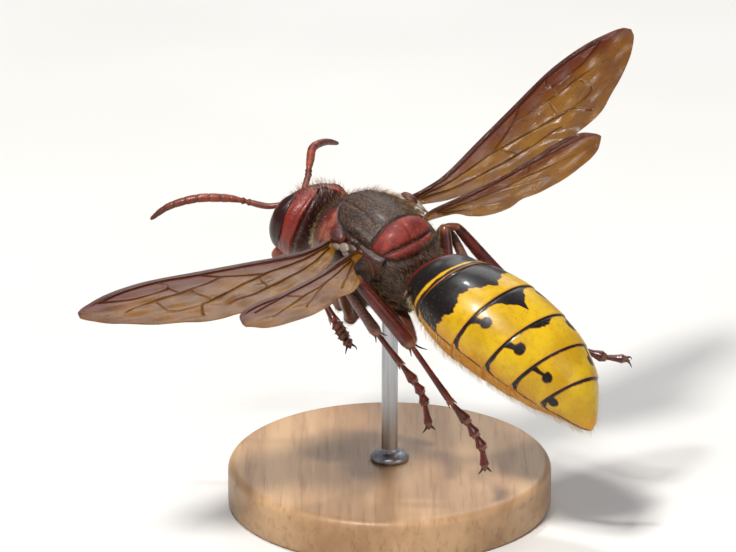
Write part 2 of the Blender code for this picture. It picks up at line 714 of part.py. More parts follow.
def build_gaster(to_world, parts, cutters):
    """Six rings that slide into one another, each a little wider at its rear edge."""
    frames = gaster_frames(GASTER_FRAMES)
    finishes = ("black_brown", "yellow", "yellow", "yellow", "yellow", "yellow")
    for i, finish in enumerate(finishes):
        start = GASTER_CUTS[i] + (GAP / 2 if i else 0.0)
        end = GASTER_CUTS[i + 1] - (GAP / 2 if i < 5 else 0.0)
        rings = []
        for k in range(GASTER_STEPS + 1):
            t = k / GASTER_STEPS
            at = mix(start, end, t)
            base = smooth_value(GASTER_PROFILE, at, 1)
            lip = GASTER_LIP * (t - 0.5) / base if i < 5 else -0.5 * GASTER_LIP * (1 - t) / base
            rings.append(gaster_ring(at, 1.0 + lip, frames))
        name = "gaster_%d" % (i + 1)
        segment = new_object(name, loft_mesh(name, rings, to_world), finish, parts)
        if i == 0:
            waist = sweep_rings(WAIST_PATH, WAIST_RADII, 10)
            fuse(segment, [new_object("waist", loft_mesh("waist", waist, to_world), finish, cutters)])


def distance_to_line(point, line):
    """Shortest distance from a point to a run of straight pieces."""
    best = 1e9
    for a, b in zip(line, line[1:]):
        a, b = Vector(a), Vector(b)
        along = b - a
        t = min(max((point - a).dot(along) / along.length_squared, 0.0), 1.0)
        best = min(best, (point - a - along * t).length)
    return best


def offset_line(line, shift):
    """The same line moved to one side."""
    moved = []
    for i, place in enumerate(line):
        a = Vector(line[max(i - 1, 0)])
        b = Vector(line[min(i + 1, len(line) - 1)])
        along = (b - a).normalized()
        moved.append(Vector(place) + Vector((-along.y, along.x)) * shift)
    return moved


def wing_mesh(name, outline, veins, to_world, camber):
    """A thin wing whose veins stand up from both faces, split alike on both."""
    outline = [p.xy for p in smooth_path([(x, y, 0) for x, y in outline], 2)]
    points = list(outline)
    edges = [(i, (i + 1) % len(outline)) for i in range(len(outline))]
    for vein in veins:
        for shift in (-VEIN_HALF_WIDTH, 0.0, VEIN_HALF_WIDTH):
            first = len(points)
            line = offset_line(vein, shift)
            points += line
            edges += [(first + i, first + i + 1) for i in range(len(line) - 1)]
    made = delaunay_2d_cdt(points, edges, [list(range(len(outline)))], 1, MERGE_IN_PLANE)
    flat, faces, source_faces = made[0], made[2], made[5]
    faces = [face for face, source in zip(faces, source_faces) if source]
    used = sorted({i for face in faces for i in face})
    bm = bmesh.new()
    top, low = {}, {}
    for i in used:
        p = flat[i]
        near = min(distance_to_line(p, vein) for vein in veins)
        rise = VEIN_HEIGHT * min(max(1.0 - near / VEIN_HALF_WIDTH, 0.0), 1.0)
        half = WING_THICKNESS / 2 + WING_ROOT_EXTRA * math.exp(-p.x / WING_ROOT_LENGTH)
        middle = camber(p.x, p.y)
        top[i] = bm.verts.new(to_world @ Vector((p.x, p.y, middle + half + rise)))
        low[i] = bm.verts.new(to_world @ Vector((p.x, p.y, middle - half - rise)))
    border = {}
    for face in faces:
        bm.faces.new([top[i] for i in face])
        bm.faces.new([low[i] for i in reversed(face)])
        for a, b in zip(face, face[1:] + face[:1]):
            if (b, a) in border:
                del border[(b, a)]
            else:
                border[(a, b)] = True
    for a, b in border:
        bm.faces.new((top[b], top[a], low[a], low[b]))
    bmesh.ops.recalc_face_normals(bm, faces=bm.faces)
    mesh = bpy.data.meshes.new(name)
    bm.to_mesh(mesh)
    bm.free()
    return mesh


def wing_matrix(side):
    """From a wing's plane to the body frame."""
    span = mirror_side(FOREWING_SPAN, side).normalized()
    chord = Vector((-1, 0, 0))
    chord = (chord - span * chord.dot(span)).normalized()
    up = span.cross(chord) * -side
    turn = Matrix((span, chord, up)).transposed().to_4x4()
    return Matrix.Translation(mirror_side(FOREWING_ROOT, side)) @ turn


def build_wings(to_world, parts):
    """Two wings on each side, the hind one just behind the front one."""
    for side, word in ((1, "left"), (-1, "right")):
        frame = to_world @ wing_matrix(side)
        mesh = wing_mesh("forewing", FOREWING_OUTLINE, FOREWING_VEINS, frame,
                         lambda x, y: -FOREWING_CAMBER * (y - FOREWING_CREST) ** 2)
        new_object("forewing_" + word, mesh, "membrane", parts)
        shift = Matrix.Translation(HINDWING_ROOT_SHIFT)
        turn = Matrix.Rotation(math.radians(HINDWING_SWEEP), 4, "Z")
        mesh = wing_mesh("hindwing", HINDWING_OUTLINE, HINDWING_VEINS, frame @ shift @ turn,
                         lambda x, y: -HINDWING_CAMBER * y ** 2)
        new_object("hindwing_" + word, mesh, "membrane", parts)


def build_tegulae(to_world, parts, cutters):
    """The small shell over each front wing's root."""
    for side, word in ((1, "left"), (-1, "right")):
        for name, grow, group in (("tegula_" + word, 0.0, parts), ("around", GAP, cutters)):
            bm = bmesh.new()
            bmesh.ops.create_uvsphere(bm, u_segments=12, v_segments=8, radius=1.0)
            turn = Matrix.Rotation(math.radians(-side * TEGULA_TILT), 3, "X")
            for vert in bm.verts:
                local = Vector(vert.co[i] * (TEGULA_SIZE[i] + grow) for i in range(3))
                vert.co = to_world @ (mirror_side(TEGULA_PLACE, side) + turn @ local)
            mesh = bpy.data.meshes.new(name)
            bm.to_mesh(mesh)
            bm.free()
            shell = new_object(name, mesh, "red_brown", group)
        wing = parts.objects["forewing_" + word]
        boolean(wing, "DIFFERENCE", shell)
        keep_largest(wing)
        remove([shell])


def claw_pieces(tip, ahead, to_world, group):
    """Two hooked claws at the end of a foot."""
    down = Vector((0, 0, -1))
    side = ahead.cross(down)
    side = side.normalized() if side.length > 0.1 else Vector((0, 1, 0))
    hook = side.cross(ahead).normalized()
    if hook.z > 0:
        hook = -hook
    pieces = []
    for spread in (-1, 1):
        start = tip - ahead * CLAW_LENGTH * 0.37
        middle = tip + ahead * CLAW_LENGTH * 0.45 + side * spread * CLAW_SPREAD * 0.65
        end = tip + ahead * CLAW_LENGTH * 0.75 + side * spread * CLAW_SPREAD + hook * CLAW_DROP
        radii = [CLAW_RADIUS * 1.5, CLAW_RADIUS, CLAW_RADIUS * 0.45]
        rings = sweep_rings([start, middle, end], radii, CLAW_SIDES)
        pieces.append(new_object("claw", loft_mesh("claw", rings, to_world), "black_brown", group))
    return pieces


def build_legs(to_world, parts, cutters):
    """Six legs, each as thigh, shin and foot, with spurs and claws."""
    for name, joints in LEG_JOINTS.items():
        side, which = name.split("_")
        hip, neck, knee, ankle = (Vector(p) for p in joints[:4])
        toes = [ankle] + [Vector(p) for p in joints[4:]]
        coxa_r, femur_r, tibia_r, tarsus_r = LEG_RADII[which]
        path = [hip, hip.lerp(neck, 0.5), neck]
        radii = [coxa_r, coxa_r, femur_r * 1.1]
        rings = sweep_rings(path, radii, LEG_SIDES)
        new_object("coxa_" + name, loft_mesh("coxa", rings, to_world), "dark_red", parts)
        rings = sweep_rings(path, [r + GAP for r in radii], LEG_SIDES)
        around = new_object("around", loft_mesh("around", rings, to_world), "dark_red", cutters)
        path = [neck.lerp(knee, share) for share, size in THIGH_SHAPE]
        radii = [femur_r * size for share, size in THIGH_SHAPE]
        rings = sweep_rings(path, radii, LEG_SIDES, round_start=False)
        femur = new_object("femur_" + name, loft_mesh("femur", rings, to_world), "dark_red", parts)
        boolean(femur, "DIFFERENCE", around)
        keep_largest(femur)
        remove([around])

        thigh = (knee - neck).normalized()
        shin = (ankle - knee).normalized()
        fold = (shin - thigh * shin.dot(thigh)).normalized()
        start = knee + fold * (femur_r * 0.8 + tibia_r * 0.75 + GAP) + thigh * 0.1
        shin = (ankle - start).normalized()
        stop = ankle - shin * (tarsus_r + GAP)
        path = [start.lerp(stop, share) for share, size in SHIN_SHAPE]
        radii = [tibia_r * size for share, size in SHIN_SHAPE]
        rings = sweep_rings(path, radii, LEG_SIDES)
        tibia = new_object("tibia_" + name, loft_mesh("tibia", rings, to_world), "dark_red", parts)
        across = shin.cross(Vector((0, 0, 1))).normalized()
        spurs = []
        for spread in ((-1, 1) if which != "front" else (1,)):
            root = stop - shin * SPUR_ROOT
            end = root + shin * SPUR_LENGTH + across * spread * SPUR_SPREAD
            radii = [SPUR_RADIUS * 1.4, SPUR_RADIUS, SPUR_RADIUS * 0.4]
            rings = sweep_rings([root, root.lerp(end, 0.5), end], radii, CLAW_SIDES)
            spurs.append(new_object("spur", loft_mesh("spur", rings, to_world), "dark_red", cutters))
        fuse(tibia, spurs)

        path, radii = [], []
        for i, (a, b) in enumerate(zip(toes, toes[1:])):
            root = tarsus_r * (0.74 if i else 0.8)
            flare = tarsus_r * (1.12 if i < 4 else 0.95)
            path += [a.lerp(b, 0.08), a.lerp(b, 0.82), a.lerp(b, 0.95)]
            radii += [root, flare, flare * 0.8]
        rings = sweep_rings(path, radii, FOOT_SIDES)
        foot = new_object("tarsus_" + name, loft_mesh("tarsus", rings, to_world), "dark_red", parts)
        ahead = (toes[-1] - toes[-2]).normalized()
        fuse(foot, claw_pieces(toes[-1], ahead, to_world, cutters))


def build_stand(to_world, parts):
    """A flat round base with an eased edge, and a rod up to the thorax."""
    bpy.ops.mesh.primitive_cylinder_add(vertices=48, radius=BASE_RADIUS * MM, depth=BASE_HEIGHT * MM,
                                        location=(0, 0, BASE_HEIGHT * MM / 2))
    base = bpy.context.object
    base.name = "stand_base"
    base.data.materials.append(material("walnut"))
    edge = base.modifiers.new("edge", "BEVEL")
    edge.width = BASE_EDGE * MM
    edge.segments = 1
    edge.limit_method = "ANGLE"
    for held in list(base.users_collection):
        held.objects.unlink(base)
    parts.objects.link(base)

    top = (to_world @ ROD_TOP_IN_BODY).z / MM + 1.0
    low = BASE_HEIGHT + GAP
    bpy.ops.mesh.primitive_cylinder_add(vertices=20, radius=ROD_RADIUS * MM, depth=(top - low) * MM,
                                        location=(ROD_FOOT[0] * MM, ROD_FOOT[1] * MM, (top + low) / 2 * MM))
    rod = bpy.context.object
    rod.name = "stand_rod"
    rod.data.materials.append(material("steel"))
    for held in list(rod.users_collection):
        held.objects.unlink(rod)
    parts.objects.link(rod)


def main():
    clear_scene()
    parts = collection("hornet_model")
    cutters = collection("cutters")
    to_world = body_matrix()
    build_thorax(to_world, parts, cutters)
    build_head(to_world @ head_matrix(), parts, cutters)
    build_antennae(to_world, parts)
    trim_to_head(to_world @ head_matrix(), parts, cutters)
    build_gaster(to_world, parts, cutters)
    build_wings(to_world, parts)
    build_tegulae(to_world, parts, cutters)
    build_legs(to_world, parts, cutters)
    build_stand(to_world, parts)
    trim_to_thorax(to_world, parts, cutters)


main()
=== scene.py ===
# %% [markdown]
# # A European hornet in flight, life size, on a small stand
#
# The solids give every place and size. Each piece below is a finer skin over one or more
# of them, drawn in the hornet's own body frame in millimetres: X to its front, Y to its
# left and Z to its back, from the middle of the thorax.

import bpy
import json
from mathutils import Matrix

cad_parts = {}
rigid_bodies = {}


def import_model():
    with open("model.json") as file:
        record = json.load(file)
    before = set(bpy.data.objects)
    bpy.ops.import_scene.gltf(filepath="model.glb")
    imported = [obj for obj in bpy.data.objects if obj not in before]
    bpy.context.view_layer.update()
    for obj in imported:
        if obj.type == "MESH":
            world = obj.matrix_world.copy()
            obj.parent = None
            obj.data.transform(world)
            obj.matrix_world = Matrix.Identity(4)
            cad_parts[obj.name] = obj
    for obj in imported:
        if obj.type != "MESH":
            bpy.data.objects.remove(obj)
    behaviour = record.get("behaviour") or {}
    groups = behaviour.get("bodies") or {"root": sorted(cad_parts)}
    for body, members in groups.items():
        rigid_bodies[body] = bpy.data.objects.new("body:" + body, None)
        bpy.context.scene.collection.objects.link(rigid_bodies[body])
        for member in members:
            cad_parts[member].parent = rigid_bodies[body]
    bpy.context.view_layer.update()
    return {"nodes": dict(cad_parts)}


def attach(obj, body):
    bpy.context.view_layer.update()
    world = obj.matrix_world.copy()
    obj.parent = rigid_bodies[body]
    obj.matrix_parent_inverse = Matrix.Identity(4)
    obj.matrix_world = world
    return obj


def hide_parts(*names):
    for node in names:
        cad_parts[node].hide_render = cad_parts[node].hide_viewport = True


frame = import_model()
print("solids:", len(frame["nodes"]))

# %% [markdown]
# ## From the body frame to the world
#
# The hornet flies head up and leans to its left, so one turn places everything. Numbers
# are in arrays, because a fine skin has tens of thousands of points.

# %% Place of the body over the stand
import json
import math

import bpy
import numpy as np
from mathutils import Matrix, Vector

MM = 0.001
HEADING, PITCH, ROLL = 131.0, 11.8, -12.9
ROD_TOP = Vector((-0.6, 0.0, -3.3))
THORAX_HEIGHT = 18.0
SIDES = ((1, "left"), (-1, "right"))


def turn_about(axis, degrees):
    """A turn about one axis, as a matrix."""
    return Matrix.Rotation(math.radians(degrees), 3, axis)


body_turn = turn_about("Z", HEADING) @ turn_about("Y", -PITCH) @ turn_about("X", ROLL)
rod_top = body_turn @ ROD_TOP
TURN = np.array(body_turn)
PLACE = np.array((-rod_top.x, -rod_top.y, THORAX_HEIGHT))


def to_world(points):
    """Body frame in millimetres to the world in metres."""
    return (np.asarray(points, float) @ TURN.T + PLACE) * MM


def put(name, data):
    """A new object in the scene."""
    item = bpy.data.objects.new(name, data)
    bpy.context.scene.collection.objects.link(item)
    return item


print("thorax centre at", to_world((0, 0, 0)).round(5))

# %% [markdown]
# ## Skins from grids of points
#
# Plates, limbs and wings are all tubes: rows of points along the piece, each row a closed
# loop. One builder joins such tubes into a closed mesh with a fan at each end, keeps the
# row and column as a UV map, a strip of it for each tube, and stores numbers per point for
# the finish and the hair to read. Skins with hair also store the lie, the way it points.

# %% Tools for curves
def read_curve(table, at, number=1):
    """A smooth curve through one column of a table whose first column is the place."""
    table = np.asarray(table, float)
    x, y = table[np.argsort(table[:, 0])][:, [0, number]].T
    slope = np.gradient(y, x)
    slope[1:-1] = (y[2:] - y[:-2]) / (x[2:] - x[:-2])
    at = np.asarray(at, float)
    k = np.clip(np.searchsorted(x, at) - 1, 0, len(x) - 2)
    width = x[k + 1] - x[k]
    t = np.clip((at - x[k]) / width, 0, 1)
    return ((2 * t ** 3 - 3 * t ** 2 + 1) * y[k] + (t ** 3 - 2 * t ** 2 + t) * slope[k] * width
            + (3 * t ** 2 - 2 * t ** 3) * y[k + 1] + (t ** 3 - t ** 2) * slope[k + 1] * width)


def read_curves(table, at):
    """The curves through all the columns after the first."""
    return [read_curve(table, at, number) for number in range(1, len(table[0]))]


def ease(value, low, high):
    """0 below low, 1 above high, smooth between."""
    t = np.clip((value - low) / (high - low), 0, 1)
    return t * t * (3 - 2 * t)


def within(distance, soft=0.05):
    """1 where a signed distance is inside, 0 outside, with a soft border."""
    return ease(distance, -soft, soft)


def bump(distance, width):
    """A soft ridge around distance 0."""
    return np.exp(-(distance / width) ** 2)


def ring(count):
    """Angles evenly round a circle."""
    return np.arange(count) * 2 * math.pi / count


def spaced(count, even):
    """Shares from 0 to 1: even steps where even is 1, and closer at both ends towards 0."""
    t = np.linspace(0, 1, count)
    return even * t + (1 - even) * (0.5 - 0.5 * np.cos(math.pi * t))


def path_through(points, steps):
    """A smooth path through a few points."""
    points = np.asarray(points, float)
    ends = np.vstack([points[:1], points, points[-1:]])
    t = np.arange(steps)[:, None] / steps
    made = []
    for p0, p1, p2, p3 in zip(ends, ends[1:], ends[2:], ends[3:]):
        made.append(0.5 * (2 * p1 + (p2 - p0) * t + (2 * p0 - 5 * p1 + 4 * p2 - p3) * t ** 2
                           + (3 * p1 - p0 - 3 * p2 + p3) * t ** 3))
    return np.vstack(made + [points[-1:]])


# %% Tools for grids
def unit(vectors):
    """Vectors of length one."""
    vectors = np.asarray(vectors, float)
    return vectors / np.maximum(np.linalg.norm(vectors, axis=-1, keepdims=True), 1e-9)


def grid_normals(grid):
    """Outward directions of a closed tube of points."""
    along = np.gradient(grid, axis=0)
    around = np.roll(grid, -1, axis=1) - np.roll(grid, 1, axis=1)
    normal = unit(np.cross(around, along))
    middle = grid.mean(axis=1, keepdims=True)
    return normal * np.sign(((grid - middle) * normal).sum())


def with_tips(values):
    """A grid's values as a list of points, then the mean of each end row for a fan's tip."""
    return np.concatenate([values.reshape(-1, *values.shape[2:]), values[[0, -1]].mean(axis=1)])


class Skin:
    """Closed tubes of points, gathered into one mesh. The points carry named numbers."""

    def __init__(self):
        self.points, self.numbers, self.faces = [], [], []
        self.count = 0

    def tube(self, grid, **numbers):
        """Add one tube: rows along it, each row a closed loop, and a fan over each end."""
        grid = np.asarray(grid, float)
        rows, cols = grid.shape[:2]
        points = with_tips(grid)
        if "hair" in numbers:
            numbers.setdefault("lie", unit(np.gradient(grid, axis=0)))
        corner = np.indices((rows - 1, cols)).reshape(2, -1).T[:, None] + ((0, 0), (0, 1), (1, 1), (1, 0))
        quads = corner[..., 0] * cols + corner[..., 1] % cols
        parts = [(quads, corner[..., ::-1])]
        k = np.arange(cols)
        for end, row in enumerate((0, rows - 1)):
            fan = np.stack([row * cols + k, row * cols + (k + 1) % cols, np.full(cols, rows * cols + end)], 1)
            flat = np.stack([k[:, None] + (0, 1, 0.5), np.full((cols, 3), row)], -1)
            parts.append((fan, flat) if end else (fan[:, ::-1], flat[:, ::-1]))
        triangles = np.vstack([quads[:, [0, 1, 2]], quads[:, [0, 2, 3]], parts[1][0], parts[2][0]])
        a, b, c = (points[triangles[:, n]] for n in range(3))
        order = -1 if np.einsum("ij,ij->", a, np.cross(b, c)) < 0 else 1
        for faces, flat in parts:
            unwrap = flat[:, ::order] / (cols, rows - 1) + (0, len(self.points))
            self.faces.append((faces[:, ::order] + self.count, unwrap))
        shapes = {"lie": (rows, cols, 3)}
        self.numbers.append({key: with_tips(np.broadcast_to(value, shapes.get(key, (rows, cols))))
                             for key, value in numbers.items()})
        self.points.append(points)
        self.count += len(points)
        return self

    def make(self, name, finish, place=to_world):
        """The finished object, at the origin, with its place in its mesh."""
        mesh = bpy.data.meshes.new(name)
        loops = np.concatenate([faces.ravel() for faces, _ in self.faces])
        sizes = np.concatenate([np.full(len(faces), faces.shape[1]) for faces, _ in self.faces])
        mesh.vertices.add(self.count)
        mesh.vertices.foreach_set("co", place(np.vstack(self.points)).ravel().astype(np.float32))
        mesh.loops.add(len(loops))
        mesh.loops.foreach_set("vertex_index", loops.astype(np.int32))
        mesh.polygons.add(len(sizes))
        mesh.polygons.foreach_set("loop_start", (np.cumsum(sizes) - sizes).astype(np.int32))
        mesh.update(calc_edges=True)
        unwrap = np.vstack([flat.reshape(-1, 2) for _, flat in self.faces]) / (1, len(self.points))
        mesh.uv_layers.new(name="UVMap").data.foreach_set("uv", unwrap.ravel().astype(np.float32))
        for key in sorted({key for table in self.numbers for key in table}):
            kind, part, width = ("FLOAT_VECTOR", "vector", (3,)) if key == "lie" else ("FLOAT", "value", ())
            numbers = np.concatenate([table.get(key, np.zeros((len(points), *width)))
                                      for points, table in zip(self.points, self.numbers)])
            if key == "lie":
                numbers = numbers @ TURN.T
            layer = mesh.attributes.new(key, kind, "POINT")
            layer.data.foreach_set(part, numbers.ravel().astype(np.float32))
        mesh.validate()
        mesh.shade_smooth()
        mesh.materials.append(finish)
        print("%-20s %7d triangles" % (name, (sizes - 2).sum()))
        return put(name, mesh)


# %% Tools for limbs
ROUND_REACH, ROUND_SIZE = np.array((0.45, 0.75, 0.95)), np.array((0.89, 0.66, 0.25))


def sweep(path, radii, sides=20, flat=1.0, up=(0, 0, 1)):
    """A limb's grid: loops of one radius each along a path, and three more for each round end."""
    first = path[0] + unit(path[0] - path[1]) * (radii[0] * ROUND_REACH)[:, None]
    last = path[-1] + unit(path[-1] - path[-2]) * (radii[-1] * ROUND_REACH)[:, None]
    path = np.vstack([first[::-1], path, last])
    radii = np.concatenate([radii[0] * ROUND_SIZE[::-1], radii, radii[-1] * ROUND_SIZE])
    along = unit(np.gradient(path, axis=0))
    side = unit(np.cross(along[0], up))
    a = ring(sides)[:, None]
    rows = []
    for place, direction, radius in zip(path, along, radii):
        side = unit(side - direction * side.dot(direction))
        other = np.cross(direction, side)
        rows.append(place + radius * (np.cos(a) * side + flat * np.sin(a) * other))
    return np.array(rows)


def with_ends(values, start=1.0, end=1.0):
    """Numbers along a limb, with the rows of its two round ends added."""
    return np.concatenate([np.full(3, start), values, np.full(3, end)])[:, None]


def limb(skin, through, steps, radius, scales, sides, flat=1.0, **numbers):
    """A limb through points. Its scales are rows of a share of its length and of its radius."""
    path = path_through(through, steps)
    t = np.linspace(0, 1, len(path))
    numbers = {key: value(t) if callable(value) else value for key, value in numbers.items()}
    return skin.tube(sweep(path, radius * read_curve(scales, t), sides, flat), **numbers)


# %% [markdown]
# ## A small kit for finishes
#
# A finish is a Principled shader whose colour, roughness and bump follow numbers on the
# surface. Wrapping a socket in a class lets that maths be written as plain sums, and each
# sum adds its Math node. The hair's geometry tree is written with the same two classes.

# %% Tools for finishes
class Tree:
    """A node tree that is written node by node."""

    def __init__(self, tree):
        self.tree = tree

    def add(self, kind, sockets=None, **settings):
        """A node of a kind: its settings first, then its sockets' values or links."""
        made = self.tree.nodes.new(kind)
        for key, value in settings.items():
            setattr(made, key, value)
        for key, value in (sockets or {}).items():
            value = getattr(value, "socket", value)
            if isinstance(value, bpy.types.NodeSocket):
                self.tree.links.new(value, made.inputs[key])
            else:
                made.inputs[key].default_value = value
        return made

    def flow(self, kind, sockets=None, output=0, **settings):
        """One result of a new node."""
        return Flow(self, self.add(kind, sockets, **settings).outputs[output])


class Flow:
    """A socket with arithmetic: each operation adds one Math node."""

    def __init__(self, tree, socket):
        self.tree, self.socket = tree, socket

    def maths(self, operation, a, b, **settings):
        return self.tree.flow("ShaderNodeMath", {0: a, 1: b}, operation=operation, **settings)

    def __add__(self, other):
        return self.maths("ADD", self, other)

    def __radd__(self, other):
        return self.maths("ADD", other, self)

    def __sub__(self, other):
        return self.maths("SUBTRACT", self, other)

    def __rsub__(self, other):
        return self.maths("SUBTRACT", other, self)

    def __mul__(self, other):
        return self.maths("MULTIPLY", self, other)

    def __rmul__(self, other):
        return self.maths("MULTIPLY", other, self)

    def clamp(self):
        """Held between 0 and 1."""
        return self.maths("ADD", self, 0.0, use_clamp=True)

    def step(self, low, high):
        """0 at low, 1 at high, smooth between."""
        return self.tree.flow("ShaderNodeMapRange", {"Value": self, "From Min": low, "From Max": high},
                              interpolation_type="SMOOTHSTEP")


class Finish(Tree):
    """One procedural material."""

    def __init__(self, name, roughness=0.35, coat=0.0, coat_roughness=0.15, specular=0.5, metallic=0.0):
        self.material = bpy.data.materials.new(name)
        self.material.use_nodes = True
        super().__init__(self.material.node_tree)
        self.shader = self.tree.nodes["Principled BSDF"].inputs
        values = {"Roughness": roughness, "Coat Weight": coat, "Coat Roughness": coat_roughness,
                  "Specular IOR Level": specular, "Metallic": metallic}
        for key, value in values.items():
            self.shader[key].default_value = value

    def number(self, name):
        """A number stored on the surface's points."""
        return self.flow("ShaderNodeAttribute", output="Fac", attribute_name=name)

    def noise(self, per_mm, detail=3.0, rough=0.55, stretch=(1.0, 1.0, 1.0), on="Object"):
        """Cloudy noise with this many lumps per millimetre, over object or UV coordinates."""
        where = self.flow("ShaderNodeTexCoord", output=on)
        mapped = self.flow("ShaderNodeMapping", {"Vector": where, "Scale": stretch})
        return self.flow("ShaderNodeTexNoise", {"Vector": mapped, "Scale": per_mm / MM, "Detail": detail,
                                                "Roughness": rough})

    def pits(self, per_mm, randomness=1.0):
        """Distance to the nearest of many small points."""
        where = self.flow("ShaderNodeTexCoord", output="Object")
        return self.flow("ShaderNodeTexVoronoi", {"Vector": where, "Scale": per_mm / MM,
                                                  "Randomness": randomness}, "Distance")

    def blend(self, mask, low, high):
        """Colour low where the mask is 0 or less, and high where it is 1 or more."""
        return self.flow("ShaderNodeMix", {0: mask, 6: low, 7: high}, 2, data_type="RGBA", clamp_factor=True)

    def tint(self, colour, name, amount, shade):
        """The colour, changed to a shade where a stored number is high."""
        return self.blend(self.number(name) * amount, colour, shade)

    def done(self, colour, roughness=None, height=None, depth=0.02, strength=1.0, alpha=None):
        """The material, with its results linked to its shader. The relief's depth is in millimetres."""
        results = {"Base Color": colour, "Roughness": roughness, "Alpha": alpha}
        if height:
            results["Normal"] = self.flow("ShaderNodeBump", {"Height": height, "Strength": strength,
                                                             "Distance": depth * MM})
        for key, value in results.items():
            if value:
                self.tree.links.new(value.socket, self.shader[key])
        return self.material


def rgb(*eye):
    """A colour as the eye gives it (0 to 255), turned to the linear values a shader takes."""
    shares = [value / 255.0 for value in eye]
    return (*(s / 12.92 if s <= 0.04045 else ((s + 0.055) / 1.055) ** 2.4 for s in shares), 1.0)

# %% [markdown]
# ## Thorax
#
# The thorax is a rounded box of hard plates with real seams between them: the collar in
# front, the big back plate, the raised scutellum, the narrow band behind it and the slope
# down to the waist. One closed skin carries them all, and shallow grooves draw the seams.

# %% Thorax skin
THORAX = [  # forward, half width, back, belly
    (5.5, 0.7, 0.65, -0.8), (4.8, 0.85, 0.8, -0.95), (4.45, 1.4, 1.3, -1.2), (4.0, 2.55, 2.35, -1.8),
    (3.1, 2.95, 3.2, -2.5), (2.0, 3.2, 3.65, -3.05), (0.6, 3.4, 3.9, -3.4), (-0.9, 3.4, 3.8, -3.45),
    (-2.2, 3.05, 3.45, -3.1), (-3.0, 2.7, 2.9, -2.8), (-3.7, 2.2, 2.0, -2.4), (-4.2, 1.8, 1.1, -2.1),
    (-4.6, 1.15, 0.3, -1.6),
]
SHIELD_FRONT, SHIELD_REAR, SHIELD_HALF_WIDTH = 3.0, -3.7, 2.5
SCUTELLUM_FRONT, METANOTUM_FRONT, PROPODEUM_FRONT = -1.58, -3.16, -2.9
COLLAR_TOP, COLLAR_TOP_HEIGHT, COLLAR_SLOPE = 1.25, 2.3, 0.4457


def thorax_base(rows, cols):
    """The plain barrel under the relief."""
    at = THORAX[0][0] + (THORAX[-1][0] - THORAX[0][0]) * spaced(rows, 0.5)
    wide, top, low = (curve[:, None] for curve in read_curves(THORAX, at))
    a = ring(cols)
    y = wide * np.cos(a)
    z = (top + low) / 2 + (top - low) / 2 * np.sin(a)
    return np.stack([np.broadcast_to(at[:, None], y.shape), y, z], -1)


def thorax_regions(x, y, z):
    """Signed distances in millimetres that tell the plates apart."""
    high = ease(z, 0.7, 1.3)
    middle, reach = (SHIELD_FRONT + SHIELD_REAR) / 2, (SHIELD_FRONT - SHIELD_REAR) / 2
    oval = (np.abs((x - middle) / reach) ** 2.6 + np.abs(y / SHIELD_HALF_WIDTH) ** 2.6) ** 0.385
    shield = (1 - oval) * 2.6 - (1 - high) * 3
    scutellum = SCUTELLUM_FRONT - 0.01 * y ** 2 - x
    metanotum = METANOTUM_FRONT + 0.13 * y ** 2 - x
    collar = 0.913 * (x - COLLAR_TOP - (COLLAR_TOP_HEIGHT - z) * COLLAR_SLOPE)
    return shield, scutellum, metanotum, collar


base = thorax_base(230, 280)
x, y, z = np.moveaxis(base, -1, 0)
shield, scutellum, metanotum, collar = thorax_regions(x, y, z)
on_shield = within(shield)
off_shield = 1 - on_shield
on_scutellum = on_shield * within(scutellum, 0.04) * within(-metanotum, 0.04)
on_metanotum = on_shield * within(metanotum, 0.04)
on_scutum = on_shield * within(-scutellum, 0.04)
on_collar = off_shield * within(collar)
on_slope = off_shield * within(PROPODEUM_FRONT - x)
on_side = off_shield * (1 - on_collar) * (1 - on_slope)
seam = ease(x, -4.3, -4.0) * np.maximum.reduce([
    bump(shield, 0.10), on_shield * bump(scutellum, 0.10), on_shield * bump(metanotum, 0.09),
    off_shield * bump(collar, 0.09), off_shield * ease(-collar, 0.3, 0.6) * bump(x - PROPODEUM_FRONT, 0.09)])
wing_pit = bump(np.hypot((x - 0.3) / 1.3, (z - 1.75) / 0.5), 0.7) * ease(np.abs(y), 2.6, 3.0)

# %% [markdown]
# The scutellum is raised in two domes with a furrow between them. The back plate has two
# fine lines towards its front, and the sides are dented under the wings.

# %% Relief of the thorax
lift = -0.13 * seam
dome = np.clip(1 - ((x + 2.38) / 0.86) ** 2, 0, 1) ** 0.7 * np.clip(1 - (y / 2.3) ** 2, 0, 1) ** 0.7
lift += on_scutellum * (0.42 * dome - 0.10 * bump(y, 0.12) * ease(-x, 1.7, 2.3))
lift += on_metanotum * 0.20 * np.clip(1 - ((metanotum - 0.22) / 0.26) ** 2, 0, 1)
lift += on_scutum * 0.10 * np.clip(1 - (y / 2.5) ** 2, 0, 1)
lift -= on_scutum * 0.07 * bump(np.abs(y) - 1.15 + 0.1 * x, 0.07) * ease(x, -1.2, -0.4)
lift -= on_scutum * 0.05 * bump(y, 0.06) * ease(x, 0.3, 1.2)
lift += on_scutum * 0.12 * bump(np.abs(y) - 2.15, 0.18) * ease(1.2 - x, 0, 0.8)
forward = x + 0.05 * y ** 2
lift += on_collar * (0.12 * bump(forward - 3.95, 0.2) + 0.12 * bump(collar - 0.55, 0.4)
                     - 0.06 * bump(forward - 3.5, 0.14))
lift += on_side * (0.12 * np.sin(2.1 * z + 0.8) * np.cos(1.3 * x) - 0.14 * bump(x - 0.2 + 0.35 * z, 0.12)
                   - 0.10 * bump(z + 0.3 + 0.3 * x, 0.10))
lift -= 0.28 * wing_pit
lift += on_slope * (-0.12 * bump(y, 0.35) + 0.03 * np.sin(9 * z))
thorax_grid = base + grid_normals(base) * lift[..., None]

